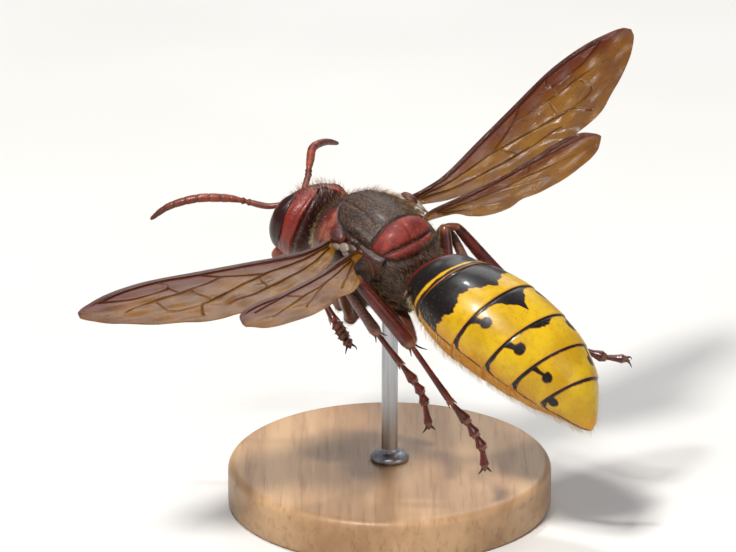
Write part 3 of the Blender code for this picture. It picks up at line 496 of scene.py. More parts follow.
# %% Numbers for the finish and the hair
shoulder = on_collar * ease(np.abs(y), 1.2, 1.7) * ease(z, 0.4, 1.0) * ease(3.55 - x, -0.1, 0.15)
rear_half = ease(-y, 0.2, 1.6)
low_collar = on_collar * ease(1.0 - z, 0, 0.6)
hairy = (on_scutum * (0.26 + 0.45 * rear_half) + 0.10 * on_scutellum + 0.16 * on_metanotum + 0.30 * on_slope
         + 0.24 * on_side + on_collar * (0.34 - 0.25 * shoulder) + 0.5 * low_collar)
thorax_values = {
    "red": 0.8 * shoulder + on_scutellum + 0.9 * on_metanotum + 0.12 * on_side * ease(z, 0.6, 1.6),
    "seam": seam, "rim": on_collar * bump(forward - 3.75, 0.22), "scutum": on_scutum, "shoulder": shoulder,
    "pale": 0.4 * low_collar,
    "hair": (hairy + 0.5 * on_metanotum * ease(-y, 0, 0.8)) * (1 - 0.7 * wing_pit) * ease(x, -4.4, -4.1),
    "long": (on_scutum * (0.28 + 0.36 * rear_half) + 0.35 * on_scutellum + 0.35 * on_metanotum
             + 0.45 * on_slope + 0.42 * on_side + on_collar * (0.55 - 0.3 * shoulder)),
}
print("thorax from", x.min(), "to", x.max(), "mm")

# %% [markdown]
# ## Finish of the plates
#
# Hornet chitin is glossy and finely pitted, dark red on some plates and brown-black on
# others. Seams are darker still.

# %% Chitin of the thorax
def plate_finish():
    finish = Finish("thorax chitin", roughness=0.42, coat=0.08, coat_roughness=0.2, specular=0.4)
    clouds = finish.noise(0.9, 4)
    grains = finish.noise(7.0, 3, 0.65)
    red, scutum, shoulder, pale = (finish.number(n) for n in ("red", "scutum", "shoulder", "pale"))
    chestnut = finish.blend(clouds.step(0.35, 0.7), rgb(98, 20, 14), rgb(140, 46, 34))
    brown = finish.blend(grains.step(0.35, 0.68), rgb(22, 12, 9), rgb(54, 33, 25))
    colour = finish.blend(red + (clouds - 0.5) * 0.3, brown, chestnut)
    # On the back plate a grainy brown tone: partly the fine down's own colour, partly a painted sheen of
    # light on it.
    colour = finish.blend(scutum * grains.step(0.45, 0.7) * 0.55, colour, rgb(116, 90, 62))
    beige = shoulder * clouds.step(0.42, 0.62) * grains.step(0.3, 0.6)
    colour = finish.blend(beige * 0.7, colour, rgb(150, 104, 74))
    colour = finish.tint(colour, "rim", 0.8, rgb(54, 14, 12))
    colour = finish.tint(colour, "seam", 0.85, rgb(22, 9, 7))
    # Pale tone: on the lower collar it is the pale down's own colour, and on the hinge knobs it is a painted
    # glint, made glossier too.
    colour = finish.blend(pale * 0.75, colour, rgb(168, 158, 140))
    matt = scutum * 0.16 + red * 0.2 - pale * 0.2
    height = finish.pits(9.0) * 0.7 + grains * 0.6
    return finish.done(colour, 0.28 + grains * 0.22 + matt, height, 0.04, 0.6)


chitin = plate_finish()
thorax = Skin().tube(thorax_grid, **thorax_values).make("thorax", chitin)
THORAX_NODES = ("pronotum", "mesoscutum", "scutellum", "metanotum", "mesothorax", "propodeum")

# %% [markdown]
# ## Head
#
# From above a hornet's head is as wide as its thorax, with broad temples behind the eyes
# and a hollow back that takes the neck. Level by level from the jaws to the crown, each
# slice has its own width and its own reach to the front and to the back.

# %% Head skin
HEAD_CENTRE = np.array((6.8, 0.55, -0.55))
HEAD_TURN = np.array(turn_about("X", 13.0))
HEAD_LEVELS = [  # height, half width, middle, reach to the front, reach to the back
    (2.65, 0.12, -0.35, 0.1, 0.1), (2.5, 1.15, -0.35, 0.65, 0.6), (2.2, 1.85, -0.25, 1.0, 1.0),
    (1.7, 2.45, -0.1, 1.3, 1.4), (1.0, 2.88, 0.0, 1.5, 1.7), (0.3, 3.05, 0.0, 1.65, 1.8),
    (-0.5, 2.98, 0.05, 1.72, 1.75), (-1.3, 2.65, 0.2, 1.65, 1.55), (-2.0, 2.15, 0.4, 1.4, 1.25),
    (-2.5, 1.6, 0.6, 1.1, 0.9), (-2.85, 0.95, 0.75, 0.65, 0.5), (-3.0, 0.12, 0.8, 0.1, 0.1),
]


def on_head(points):
    """Head frame to body frame, both in millimetres."""
    return np.asarray(points, float) @ HEAD_TURN.T + HEAD_CENTRE


def head_point(height, angle):
    """A point of the head: its level, and its angle from the front round to the left."""
    wide, middle, ahead, behind = read_curves(HEAD_LEVELS, height)
    c, s = np.cos(angle), np.sin(angle)
    y = wide * np.sign(s) * np.abs(s) ** 0.9
    x = middle + np.where(c > 0, ahead * np.abs(c) ** 0.95, -behind * np.abs(c) ** 0.62)
    hollow = 0.4 * np.exp(-(y / 1.35) ** 2 - ((height - 0.1) / 1.25) ** 2) * (c < 0) * np.abs(c)
    return np.stack([x + hollow, y, np.broadcast_to(height, y.shape)], -1)


CROWN, CHIN = HEAD_LEVELS[0][0], HEAD_LEVELS[-1][0]
HEAD_COLUMNS = 260
height = CROWN + (CHIN - CROWN) * spaced(200, 0.35)
base = head_point(height[:, None], ring(HEAD_COLUMNS)[None, :])
x, y, z = np.moveaxis(base, -1, 0)
degrees = np.arange(HEAD_COLUMNS) * 360.0 / HEAD_COLUMNS
degrees = np.minimum(degrees, 360 - degrees)[None, :] * np.ones_like(x)

# %% [markdown]
# The face has a shield-shaped plate above the jaws, two sockets for the feelers with a
# fine furrow between them, and three simple eyes on the crown. Behind the temples a low
# ridge goes round, and the back of the head beyond it is painted dark as shade.

# %% Relief of the head
OCELLI, OCELLUS_RADIUS = ((-0.05, 0.0), (-0.42, 0.33), (-0.42, -0.33)), 0.16
front = ease(x, 0.6, 1.2)
plate_half = 1.5 - 0.22 * np.abs(z + 1.3) + 0.10 * np.cos(2.2 * (z + 1.4))
tall = np.where(z > -1.5, 1.02 - 0.16 * np.abs(y), 1.0 + 0.16 * bump(np.abs(y) - 0.5, 0.22))
face_plate = ((np.abs(y) / plate_half) ** 2.4 + (np.abs(z + 1.5) / tall) ** 2.4) ** (1 / 2.4)
plate_edge = (1 - face_plate) * front
lift = 0.14 * ease(plate_edge, -0.02, 0.3) * front - 0.10 * front * bump(face_plate - 1.03, 0.05)
socket = np.hypot(np.abs(y) - 0.62, z - 0.55)
lift += front * (0.06 * bump(socket - 0.42, 0.12) - 0.16 * bump(socket, 0.22))
lift -= front * 0.05 * bump(y, 0.06) * ease(z, -0.3, 0.1) * ease(1.6 - z, 0, 0.4)
crown = ease(z, 1.9, 2.2)
ocellus = np.zeros_like(x)
for spot_x, spot_y in OCELLI:
    away = np.hypot(x - spot_x, y - spot_y)
    lift += crown * 0.10 * np.clip(1 - (away / OCELLUS_RADIUS) ** 2, 0, 1) ** 0.5
    ocellus = np.maximum(ocellus, crown * bump(away, OCELLUS_RADIUS * 0.9))
ridge = degrees - (121 + 6 * np.clip(z + 0.35, 0, 3))
lift += 0.05 * bump(ridge + 4, 4) - 0.10 * bump(ridge - 6, 5)
lift -= 0.05 * bump(degrees - 96, 2.0) * ease(2.1 - np.abs(z), 0, 0.4)
head_grid = on_head(base + grid_normals(base) * lift[..., None])

# %% [markdown]
# Besides the face's plate, three marks are yellow: one between the sockets, one in the notch
# of each eye and one down each eye's inner rim.

# %% Colours of the head
mark_half = 0.34 + 0.5 * ease(z, 0.1, 1.25) * ease(1.75 - z, 0, 0.35)
between = ease(mark_half - np.abs(y), -0.05, 0.08) * ease(z, -0.5, -0.3) * ease(1.62 - z, -0.04, 0.06)
notch = ease(0.42 - np.hypot((np.abs(y) - 1.75) * 0.9, (z - 0.15) * 0.55), -0.05, 0.08)
orbit = ease(0.2 - np.abs(np.abs(y) - 1.62 + 0.12 * z), -0.04, 0.08)
orbit = orbit * ease(-0.1 - z, 0, 0.3) * ease(z, -1.9, -1.6)
yellow = front * np.maximum.reduce([ease(plate_edge, -0.02, 0.04), between, notch, 0.9 * orbit])
# The back of the head past the ridge, where painted shade darkens the chitin.
back = ease(ridge, -2, 7)
hairy = 0.05 + 0.22 * ease(z, 1.9, 2.4) + front * (0.2 + 0.4 * ease(z, -0.4, 0.5)) + 0.07 * back
head_values = {
    "yellow": yellow, "ocellus": ocellus, "socket": front * bump(socket, 0.3), "back": back,
    "temple": ease(degrees, 88, 100) * (1 - back), "hair": hairy * (1 - ocellus),
    "long": 0.3 + 0.3 * ease(z, 1.8, 2.4) + 0.05 * back,
    "lie": unit(unit(head_grid - HEAD_CENTRE) * 0.2 + np.array((0.8, 0.1, 0.5))),
}


def head_finish():
    finish = Finish("head chitin", roughness=0.36, coat=0.1, coat_roughness=0.2, specular=0.4)
    clouds = finish.noise(0.8, 4)
    grains = finish.noise(8.0, 3, 0.6)
    chestnut = finish.blend(clouds.step(0.32, 0.72), rgb(80, 13, 7), rgb(120, 27, 14))
    temple = finish.number("temple") * grains.step(0.3, 0.6)
    chestnut = finish.blend(temple * 0.6, chestnut, rgb(128, 36, 22))
    amber = finish.blend(grains.step(0.35, 0.65), rgb(170, 92, 14), rgb(204, 136, 32))
    colour = finish.blend(finish.number("yellow"), chestnut, amber)
    # Painted shade on the back of the head, which is turned to the neck.
    colour = finish.tint(colour, "back", 0.9, rgb(42, 15, 11))
    colour = finish.tint(colour, "socket", 0.8, rgb(56, 14, 9))
    colour = finish.tint(colour, "ocellus", 1.2, rgb(20, 9, 7))
    return finish.done(colour, 0.3 + grains * 0.26, finish.pits(7.0) * 0.8 + grains * 0.45, 0.04, 0.6)


head = Skin().tube(head_grid, **head_values).make("head_capsule", head_finish())

# %% [markdown]
# ## Eyes
#
# Each compound eye is a long kidney on the side of the head, notched beside the feeler's
# socket. It is cut from the same surface as the head and raised a little, so it sits flush,
# and a fine honeycomb in its finish stands for the facets.

# %% Eyes
EYE_TOP, EYE_FOOT = 2.25, -2.0
EYE_BORDERS = [  # share of the way up, front border and rear border in degrees from the front
    (0.0, 68, 78), (0.08, 56, 86), (0.25, 46, 92), (0.45, 44, 95), (0.6, 54, 95), (0.76, 50, 93.5),
    (0.9, 50, 90), (0.97, 56, 86), (1.0, 66, 80),
]
EYE_BULGE, EYE_DEPTH, HEAD_TURNS = 0.22, 0.35, 128


def arch(share):
    """A half circle over the shares from 0 to 1."""
    return np.sqrt(np.clip(4 * share * (1 - share), 0, 1))


def eye_grid(side, rows=100, cols=70):
    """A closed lens: the outer face, then the inner one back round."""
    up, across = spaced(rows, 0.6), spaced(cols, 0.0)
    height = (EYE_FOOT + (EYE_TOP - EYE_FOOT) * up)[:, None]
    near, far = (np.radians(curve)[:, None] for curve in read_curves(EYE_BORDERS, up))
    angle = near + (far - near) * across
    outer = head_point(height, angle)
    whole = grid_normals(head_point(height, np.linspace(0, 2 * math.pi, HEAD_TURNS)[None, :]))
    index = np.clip((angle / (2 * math.pi) * (HEAD_TURNS - 1)).round().astype(int), 0, HEAD_TURNS - 1)
    normal = np.take_along_axis(whole, index[..., None], axis=1)
    dome = (arch(across)[None, :] * arch(up)[:, None])[..., None]
    raised = outer + normal * EYE_BULGE * dome ** 0.8
    sunk = outer - normal * EYE_DEPTH * (0.15 + 0.85 * dome)
    loop = np.concatenate([raised, sunk[:, -2:0:-1]], axis=1)
    return on_head(loop * (1, side, 1))


def eye_finish():
    finish = Finish("compound eye", roughness=0.25, coat=0.12, coat_roughness=0.1, specular=0.25)
    facets = finish.pits(22.0, 0.25)
    colour = finish.blend(finish.noise(0.6, 3).step(0.3, 0.7), rgb(30, 6, 3), rgb(52, 12, 5))
    return finish.done(colour, 0.24 + facets * 0.25, facets, 0.02, 0.35)


eye_glass = eye_finish()
eyes = {word: Skin().tube(eye_grid(side)).make("eye_%s_lens" % word, eye_glass) for side, word in SIDES}

# %% [markdown]
# ## Jaws and feelers
#
# The jaws are flat blades with teeth that cross below the face. A feeler is a long first
# joint, a small bead, and a whip of ten joints that swells and then tapers to its tip.

# %% Finish of limbs
def limb_finish(name, dark, pale, joint, tip, roughness, coat):
    """Chitin of a limb, from a dark to a paler tone, with its own joint and tip colours."""
    finish = Finish(name, roughness=roughness, coat=coat, coat_roughness=0.12, specular=0.35)
    grains = finish.noise(9.0, 3)
    colour = finish.blend(finish.noise(1.3, 4).step(0.3, 0.7), rgb(*dark), rgb(*pale))
    colour = finish.tint(colour, "joint", 0.85, rgb(*joint))
    colour = finish.tint(colour, "tip", 0.9, rgb(*tip))
    # A painted reflection: a pale grainy tone where the number pale is high, given to the shins.
    colour = finish.blend(finish.number("pale") * grains.step(0.3, 0.6), colour, rgb(150, 112, 96))
    return finish.done(colour, (roughness - 0.08) + grains * 0.22, grains, 0.02, 0.5)


# %% Jaws
MANDIBLE_ROOT, MANDIBLE_TIP = np.array((0.8, 1.15, -2.25)), np.array((1.45, 0.32, -3.75))
MANDIBLE_BEND = MANDIBLE_ROOT * 0.45 + MANDIBLE_TIP * 0.55 + np.array((0.35, 0.35, 0.0))
MANDIBLE_RADII = [(0, 0.52), (0.3, 0.66), (0.6, 0.6), (0.85, 0.4), (1, 0.15)]
jaw_chitin = limb_finish("jaw chitin", (84, 22, 10), (138, 58, 22), (28, 10, 7), (18, 8, 6), 0.34, 0.2)
jaws = {}
for side, word in SIDES:
    path = path_through(np.array([MANDIBLE_ROOT, MANDIBLE_BEND, MANDIBLE_TIP]) * (1, side, 1), 20)
    t = np.linspace(0, 1, len(path))
    teeth = 1 + 0.10 * np.sin(t * 34) * (t > 0.55)
    grid = sweep(path, read_curve(MANDIBLE_RADII, t) * teeth, 28, flat=0.62, up=(1, 0, 0))
    dark_end = with_ends(ease(t, 0.6, 0.9), 0.0, 1.0)
    jaws[word] = Skin().tube(on_head(grid), tip=dark_end).make("jaw_" + word, jaw_chitin)

# %% Feelers
SCAPE_PATHS = {
    "left": [(8.6, 1.2, 0.15), (9.4, 2.15, -0.05), (10.35, 2.95, 0.15)],
    "right": [(8.6, -0.05, 0.05), (9.45, -1.05, -0.05), (10.35, -2.1, -0.1)],
}
FEELER_PATHS = {
    "left": [(10.8, 3.35, 0.28), (11.55, 4.1, 0.45), (12.8, 5.6, 0.5), (13.9, 7.2, 0.05), (14.5, 8.3, -0.75)],
    "right": [(10.8, -2.5, -0.1), (11.6, -3.3, -0.05), (12.5, -4.3, 0.05), (13.05, -5.8, -0.5),
              (13.35, -7.1, -1.4)],
}
SCAPE_SCALES = [(0, 0.9), (0.08, 0.66), (0.2, 0.9), (0.7, 1.1), (1, 1.0)]
FEELER_SCALES = [(0, 0.5), (0.12, 0.78), (0.3, 1.0), (0.55, 0.97), (0.85, 0.72), (1, 0.42)]
SCAPE_RADIUS, FEELER_RADIUS, FEELER_JOINTS = 0.2, 0.29, 10
feeler_chitin = limb_finish("feeler chitin", (92, 30, 18), (140, 62, 30), (48, 16, 12), (70, 34, 22),
                            0.42, 0.15)
feelers = {}
for word in SCAPE_PATHS:
    skin = limb(Skin(), SCAPE_PATHS[word], 16, SCAPE_RADIUS, SCAPE_SCALES, 24, joint=0.45)
    last, first = np.array(SCAPE_PATHS[word][-1]), np.array(FEELER_PATHS[word][0])
    bead = path_through([last, (last + first) / 2, first], 6)
    skin.tube(sweep(bead, 0.2 + 0.05 * np.sin(np.linspace(0, 3 * math.pi, len(bead))), 20), joint=0.6)
    path = path_through(FEELER_PATHS[word], 48)
    t = np.linspace(0, 1, len(path))
    phase = (t * FEELER_JOINTS) % 1.0
    narrow = bump(np.minimum(phase, 1 - phase), 0.10)
    radii = FEELER_RADIUS * (1 - 0.09 * narrow + 0.04 * phase) * read_curve(FEELER_SCALES, t)
    mark = with_ends(narrow * 0.8 + 0.2 * (t > 0.6), 1.0, 0.0)
    shade = with_ends(0.75 * ease(t, 0.45, 0.9), 0.0, 0.75)
    skin.tube(sweep(path, radii, 24), joint=mark, tip=shade)
    feelers[word] = skin.make("feeler_" + word, feeler_chitin)

# %% [markdown]
# ## Gaster
#
# The abdomen behind the waist is six rings that slide into one another. Each is its own
# plate, so each is its own piece with a lip over the next one. The yellow and brown-black
# pattern is a distance in millimetres to the edge of the dark field, stored on the points,
# so its border stays crisp however near the camera comes.

# %% Shape of the gaster
GASTER_START = np.array((-5.15, -0.3, 1.1))
GASTER_BEND = [(0.0, 14.0, -4.0), (0.33, 18.0, 12.0), (0.66, 28.0, 8.0), (1.0, 44.0, -1.0)]
GASTER_ROLL, GASTER_LENGTH, GASTER_FLATNESS = 2.0, 15.05, 0.88
GASTER_PROFILE = [
    (0.0, 1.35), (0.15, 1.98), (0.45, 2.45), (1.2, 2.7), (2.15, 3.08), (3.5, 3.45), (5.3, 3.65),
    (7.6, 3.55), (9.9, 3.2), (12.15, 2.36), (13.9, 1.2), (14.7, 0.58), (15.05, 0.12),
]
GASTER_CUTS = [0.0, 2.25, 5.4, 8.0, 10.15, 12.15, 15.05]
GASTER_COLUMNS, GASTER_ROWS = 320, 46
PLATE_MARGIN, PLATE_CORNER = 94.0, 0.9
UNDERLAP, LIP, RING_SKEW = 0.7, 0.07, 0.185
TURNED_BACK, TURNED_IN = np.array((0.02, 0.01, -0.15)), np.array((-0.035, -0.09, -0.16))
CLOSED_FRONT = np.array((0.35, 0.7, 0.93))


def gaster_axis(at, steps=64):
    """Places and turns along the bent axis."""
    share = np.linspace(0, 1, steps + 1)
    turns = np.array([turn_about("Z", right) @ turn_about("Y", -down) @ turn_about("X", GASTER_ROLL)
                      for down, right in zip(*read_curves(GASTER_BEND, share))])
    stride = -turns[:, :, 0] * GASTER_LENGTH / steps
    places = GASTER_START + np.vstack([np.zeros(3), np.cumsum(stride[:-1], axis=0)])
    t = np.asarray(at) / GASTER_LENGTH
    place = np.stack([np.interp(t, share, places[:, n]) for n in range(3)], -1)
    turn = np.stack([[np.interp(t, share, turns[:, i, j]) for j in range(3)] for i in range(3)])
    return place, np.moveaxis(turn, -1, 0)


def gaster_grid(at, radius, angle):
    """Points at lengths along the axis, with a radius for each row and angle from the back's midline."""
    place, turn = gaster_axis(at)
    across = radius * np.sin(angle)
    local = np.stack([RING_SKEW * across, across, radius * GASTER_FLATNESS * np.cos(angle)], -1)
    return place[:, None, :] + np.einsum("rij,rcj->rci", turn, local)


# %% [markdown]
# ## Pattern of the gaster
#
# Behind the first, mostly black ring each plate is yellow with a brown front line that
# turns round a corner into the side margin, a spike on the midline and a drop on each side
# that hangs from the line. Angles are counted from the back's midline, and lengths from
# the plate's front edge.

# %% Pattern of the gaster
SPIKES = {  # angle and length of the dark front field, as shares of the plate
    2: [(0, 0.80), (8, 0.70), (17, 0.60), (27, 0.52), (38, 0.52), (47, 0.60), (54, 0.66), (64, 0.58),
        (76, 0.56), (94, 0.55)],
    3: [(0, 0.68), (5, 0.48), (12, 0.30), (20, 0.14), (27, 0.10), (36, 0.09), (44, 0.02), (94, 0.0)],
    4: [(0, 0.27), (8, 0.20), (16, 0.10), (30, 0.08), (42, 0.02), (94, 0.0)],
    5: [(0, 0.08), (8, 0.0), (94, 0.0)],
    6: [(0, 0.03), (8, 0.0), (94, 0.0)],
}
DROPS = {  # angle, share of the length, radius, angle where the neck leaves the line, neck's half width
    3: (43, 0.35, 0.36, 51, 0.20), 4: (41, 0.43, 0.36, 49, 0.19), 5: (41, 0.54, 0.31, 46, 0.10),
    6: (64, 0.15, 0.30, 68, 0.24),
}
LINE_MIDDLE, LINE_SIDE, LINE_MARGIN = 0.16, 0.28, 0.16


def dark_field(plate, length, share, angle, radius):
    """How far a point lies inside the dark field, in millimetres."""
    degrees = np.abs(np.degrees(angle))
    from_margin = np.radians(PLATE_MARGIN - degrees) * radius
    from_front = share * length
    in_corner = (from_margin < PLATE_CORNER) & (from_front < PLATE_CORNER)
    corner = PLATE_CORNER - np.hypot(PLATE_CORNER - from_margin, PLATE_CORNER - from_front)
    inward = np.where(in_corner, corner, np.minimum(from_margin, from_front))
    width = LINE_MIDDLE + (LINE_SIDE - LINE_MIDDLE) * ease(degrees, 25, 85)
    width = np.where(from_margin < from_front, LINE_MARGIN, width)
    front = read_curve(SPIKES[plate], np.minimum(degrees, PLATE_MARGIN))
    ragged = 0.022 * np.sin(degrees * 0.42 + plate) + 0.012 * np.sin(degrees * 1.1 + 2 * plate)
    field = (front + ragged * (front > 0.2)) * length - from_front
    inside = np.maximum(width - inward, field)
    if plate in DROPS:
        spot, at, size, neck, neck_half = DROPS[plate]
        across = np.radians(degrees - spot) * radius
        along = (share - at) * length
        turned = across * 0.94 + along * 0.34
        other = along * 0.94 - across * 0.34
        drop = size - np.hypot(turned * 0.86, other * 1.12)
        horn = 0.2 * size - np.hypot(turned + 1.05 * size, other + 0.35 * size)
        drop = np.maximum(drop, horn)
        down = np.clip(share / at, 0, 1)
        lean = np.radians(degrees - neck - (spot - neck) * down) * radius
        stalk = np.minimum(neck_half + 0.22 * (1 - down) ** 3 - np.abs(lean), -along)
        inside = np.maximum(inside, np.maximum(drop, stalk))
    return np.minimum(inside, inward + 0.05)


def longer(values, first, last):
    """Grids with their first row repeated in front and their last row behind."""
    return {key: np.vstack([v[:1]] * first + [v] + [v[-1:]] * last) for key, v in values.items()}


def plate_shape(plate):
    """Grid and stored values of one ring of the gaster."""
    start, end = GASTER_CUTS[plate - 1], GASTER_CUTS[plate]
    length = end - start
    hidden = np.linspace(start - UNDERLAP, start, 6)[:-1] if plate > 1 else []
    rows = np.concatenate([hidden, np.linspace(start, end, GASTER_ROWS)])
    angle = np.linspace(0, 2 * math.pi, GASTER_COLUMNS, endpoint=False)
    angle = np.where(angle > math.pi, angle - 2 * math.pi, angle)
    angle = np.broadcast_to(angle, (len(rows), GASTER_COLUMNS))
    share = np.broadcast_to(((rows - start) / length)[:, None], angle.shape)
    grow = LIP * (share - 0.4) if plate < 6 else -0.5 * LIP * (1 - share)
    radius = read_curve(GASTER_PROFILE, rows)[:, None] + np.where(share < 0, -0.09 + 0.05 * share, grow)
    degrees = np.abs(np.degrees(angle))
    below = ease(degrees, PLATE_MARGIN - 1.5, PLATE_MARGIN + 0.5)
    radius = radius - 0.07 * below - 0.04 * bump(degrees - PLATE_MARGIN - 1, 1.2)
    radius = radius - 0.03 * bump(share - 0.05, 0.03) * (share >= 0)
    if plate == 1:
        to_edge = (1 - share) * length
        band = 0.08 + 0.06 * ease(angle, -0.6, 0.9)
        side_line = np.abs(degrees - PLATE_MARGIN) < 4
        dark = np.where((to_edge > 0.8) | side_line, 1.0, np.abs(to_edge - 0.36) - band)
    else:
        dark = dark_field(plate, length, share, angle, radius)
    hairy = 0.05 + 0.8 * ease(degrees, 68, 100) + 0.5 * (plate == 6) * ease(share, 0.4, 0.9)
    values = {"dark": dark, "side": 0.7 * ease(degrees, 66, 96), "belly": below,
              "red": (plate == 1) * ease(0.62 - share * length, 0, 0.14),
              # edge: the rear lip, where a painted glint line goes.
              "edge": ease(share, 0.955, 0.99) * (1 - 0.8 * (plate == 1) * ease(degrees, 40, 70)),
              "tip": (plate == 6) * ease(share, 0.62, 1.0),
              "hair": hairy * (share > 0.02) * (share < 0.98), "long": 0.28 + 0.34 * ease(degrees, 50, 95)}
    if plate < 6:
        radius = np.vstack([radius, radius[-1] + TURNED_IN[:, None]])
        rows = np.concatenate([rows, rows[-1] + TURNED_BACK])
        values = longer(values, 0, 3)
    if plate == 1:
        radius = np.vstack([radius[0] * CLOSED_FRONT[:, None], radius])
        rows = np.concatenate([[-0.02, -0.01, 0.0], rows])
        values = longer(values, 3, 0)
    return gaster_grid(rows, radius, angle[0]), values


# %% Finish of the gaster
def gaster_finish():
    finish = Finish("gaster chitin", roughness=0.34, coat=0.14, coat_roughness=0.12, specular=0.3)
    fine = finish.noise(5.0, 3)
    inside = finish.number("dark") + (finish.noise(1.8, 2) - 0.5) * 0.16
    dark = inside.step(-0.02, 0.03)
    yellow = finish.blend(finish.noise(0.5, 4).step(0.35, 0.65), rgb(174, 134, 8), rgb(198, 160, 20))
    yellow = finish.tint(yellow, "side", 0.8, rgb(184, 112, 14))
    yellow = finish.tint(yellow, "belly", 0.5, rgb(196, 120, 26))
    yellow = finish.blend(finish.noise(3.0, 3, 0.6).step(0.5, 0.72) * 0.3, yellow, rgb(150, 98, 6))
    yellow = finish.blend(finish.pits(2.4).step(0.12, 0.07) * 0.55, yellow, rgb(112, 56, 10))
    yellow = finish.tint(yellow, "tip", 0.5, rgb(218, 140, 20))
    brown = finish.blend(fine.step(0.35, 0.7), rgb(9, 5, 4), rgb(22, 12, 8))
    brown = finish.tint(brown, "red", 1.0, rgb(96, 16, 8))
    colour = finish.blend(inside.step(-0.09, 0.0) * 0.8, yellow, rgb(110, 40, 6))
    colour = finish.blend(dark, colour, brown)
    # Painted glint: a pale orange line along each plate's rear lip, kept mostly near the midline on the first
    # ring.
    colour = finish.tint(colour, "edge", 0.5, rgb(190, 116, 34))
    height = finish.noise(14.0, 2) * 0.6 + fine * 0.5
    return finish.done(colour, 0.2 + fine * 0.2 + dark * 0.06, height, 0.02, 0.4)


WAIST, WAIST_RADII = [(-4.2, 0.0, -0.6), (-5.0, -0.1, -0.1), (-5.9, -0.3, 0.7)], [(0, 0.55), (1, 1.05)]
gaster_chitin = gaster_finish()
gaster = {}
for plate in range(1, 7):
    grid, values = plate_shape(plate)
    skin = Skin().tube(grid, **values)
    if plate == 1:
        limb(skin, WAIST, 10, 1.0, WAIST_RADII, 40, dark=1.0, red=0.4, hair=0.8, long=0.4)
    gaster[plate] = skin.make("gaster_ring_%d" % plate, gaster_chitin)

# %% [markdown]
# ## Wings
#
# A wing is one thin membrane stiffened by veins. The outline is read as a front and a rear
# edge along the span, and the veins are curves in that plane: near one the membrane rises
# on both faces, and the finish turns dark and opaque. A fan of low pleats spreads from just
# before the root and fades out towards the tip.

# %% Wing shapes
FOREWING_ROOT, FOREWING_SPAN = np.array((1.03, 3.55, 2.05)), np.array((0.5, 20.15, 4.33))
HINDWING_SHIFT, HINDWING_SWEEP = (0.0, 2.35, -0.15), 11.0
FOREWING_FRONT = [
    (-0.7, -0.25), (0.0, -0.35), (1.2, -0.1), (2.9, 0.05), (6.7, -0.45), (10.6, -0.95), (13.3, -1.3),
    (15.0, -1.4), (17.3, -1.25), (19.3, -0.8), (20.4, -0.3), (20.65, 0.25),
]
FOREWING_REAR = [
    (-0.7, 0.4), (0.0, 0.65), (1.2, 1.75), (2.9, 2.75), (5.4, 3.75), (8.4, 4.4), (11.2, 4.6), (12.4, 4.6),
    (13.7, 4.45), (15.1, 3.85), (16.9, 3.05), (18.5, 2.25), (19.6, 1.45), (20.3, 0.85), (20.65, 0.25),
]
HINDWING_FRONT = [
    (-1.0, -0.25), (0.0, -0.4), (1.6, -0.25), (4.5, 0.1), (7.5, 0.15), (10.0, 0.0), (11.6, 0.3), (12.3, 1.1),
    (12.42, 1.55),
]
HINDWING_REAR = [
    (-1.0, 0.2), (0.0, 0.45), (1.0, 0.95), (2.2, 2.5), (3.9, 3.15), (5.2, 3.1), (6.4, 3.4), (8.4, 3.45),
    (10.4, 3.1), (11.4, 2.6), (12.1, 1.95), (12.42, 1.55),
]
FOREWING_VEINS = [  # half width in mm, then the curve
    (0.072, [(0.2, 0.0), (2.9, 0.4), (6.7, -0.08), (10.6, -0.57), (12.7, -0.9), (14.4, -1.03), (16.6, -0.95),
            (18.5, -0.6)]),
    (0.058, [(0.4, 0.25), (3.4, 0.95), (6.4, 1.2), (11.6, 2.3), (12.6, 2.6), (13.4, 3.8)]),
    (0.043, [(6.4, 1.2), (9.2, 0.25), (10.6, -0.57)]),
    (0.043, [(9.2, 0.25), (12.2, 0.65), (15.7, 0.75), (17.6, 1.1)]),
    (0.04, [(12.2, 0.65), (11.6, 2.3)]),
    (0.04, [(12.6, 2.6), (14.8, 2.3), (15.0, 0.75)]),
    (0.05, [(13.6, -0.95), (13.3, -0.15), (16.0, 0.0), (18.5, -0.6)]),
    (0.04, [(13.3, -0.15), (13.0, 0.67)]),
    (0.05, [(0.5, 0.5), (3.4, 1.75), (7.4, 2.75), (11.0, 3.3)]),
    (0.04, [(7.0, 1.35), (7.4, 2.75)]),
]
HINDWING_VEINS = [
    (0.058, [(0.2, 0.0), (4.4, 0.4), (7.4, 0.5), (10.6, 0.75)]),
    (0.043, [(0.3, 0.2), (4.2, 1.1), (6.6, 1.35), (10.2, 1.9)]),
    (0.036, [(6.6, 1.35), (7.4, 0.5)]),
    (0.04, [(4.2, 1.1), (7.6, 2.5)]),
    (0.04, [(0.4, 0.4), (3.8, 2.3)]),
]
WINGS = {  # front edge, rear edge, veins, rows, columns, how much it arches and where it is flat
    "fore": (FOREWING_FRONT, FOREWING_REAR, FOREWING_VEINS, 300, 110, 0.012, 1.5),
    "hind": (HINDWING_FRONT, HINDWING_REAR, HINDWING_VEINS, 220, 90, 0.02, 0.0),
}
MEMBRANE_HALF, VEIN_HALF, ROOT_HALF = 0.035, 0.09, 0.10
COSTA_WIDTH, COSTA_SWELL = 0.22, 0.14
FAN_BEHIND, PLEATS, PLEAT_DEPTH = 1.5, 40, 0.009


def near_line(x, y, line):
    """Distance in the wing's plane from every point to a smooth line."""
    line = path_through(line, 6)
    best = np.full(x.shape, 1e9)
    for (ax, ay), (bx, by) in zip(line, line[1:]):
        dx, dy = bx - ax, by - ay
        t = np.clip(((x - ax) * dx + (y - ay) * dy) / (dx * dx + dy * dy + 1e-12), 0, 1)
        best = np.minimum(best, np.hypot(x - ax - t * dx, y - ay - t * dy))
    return best


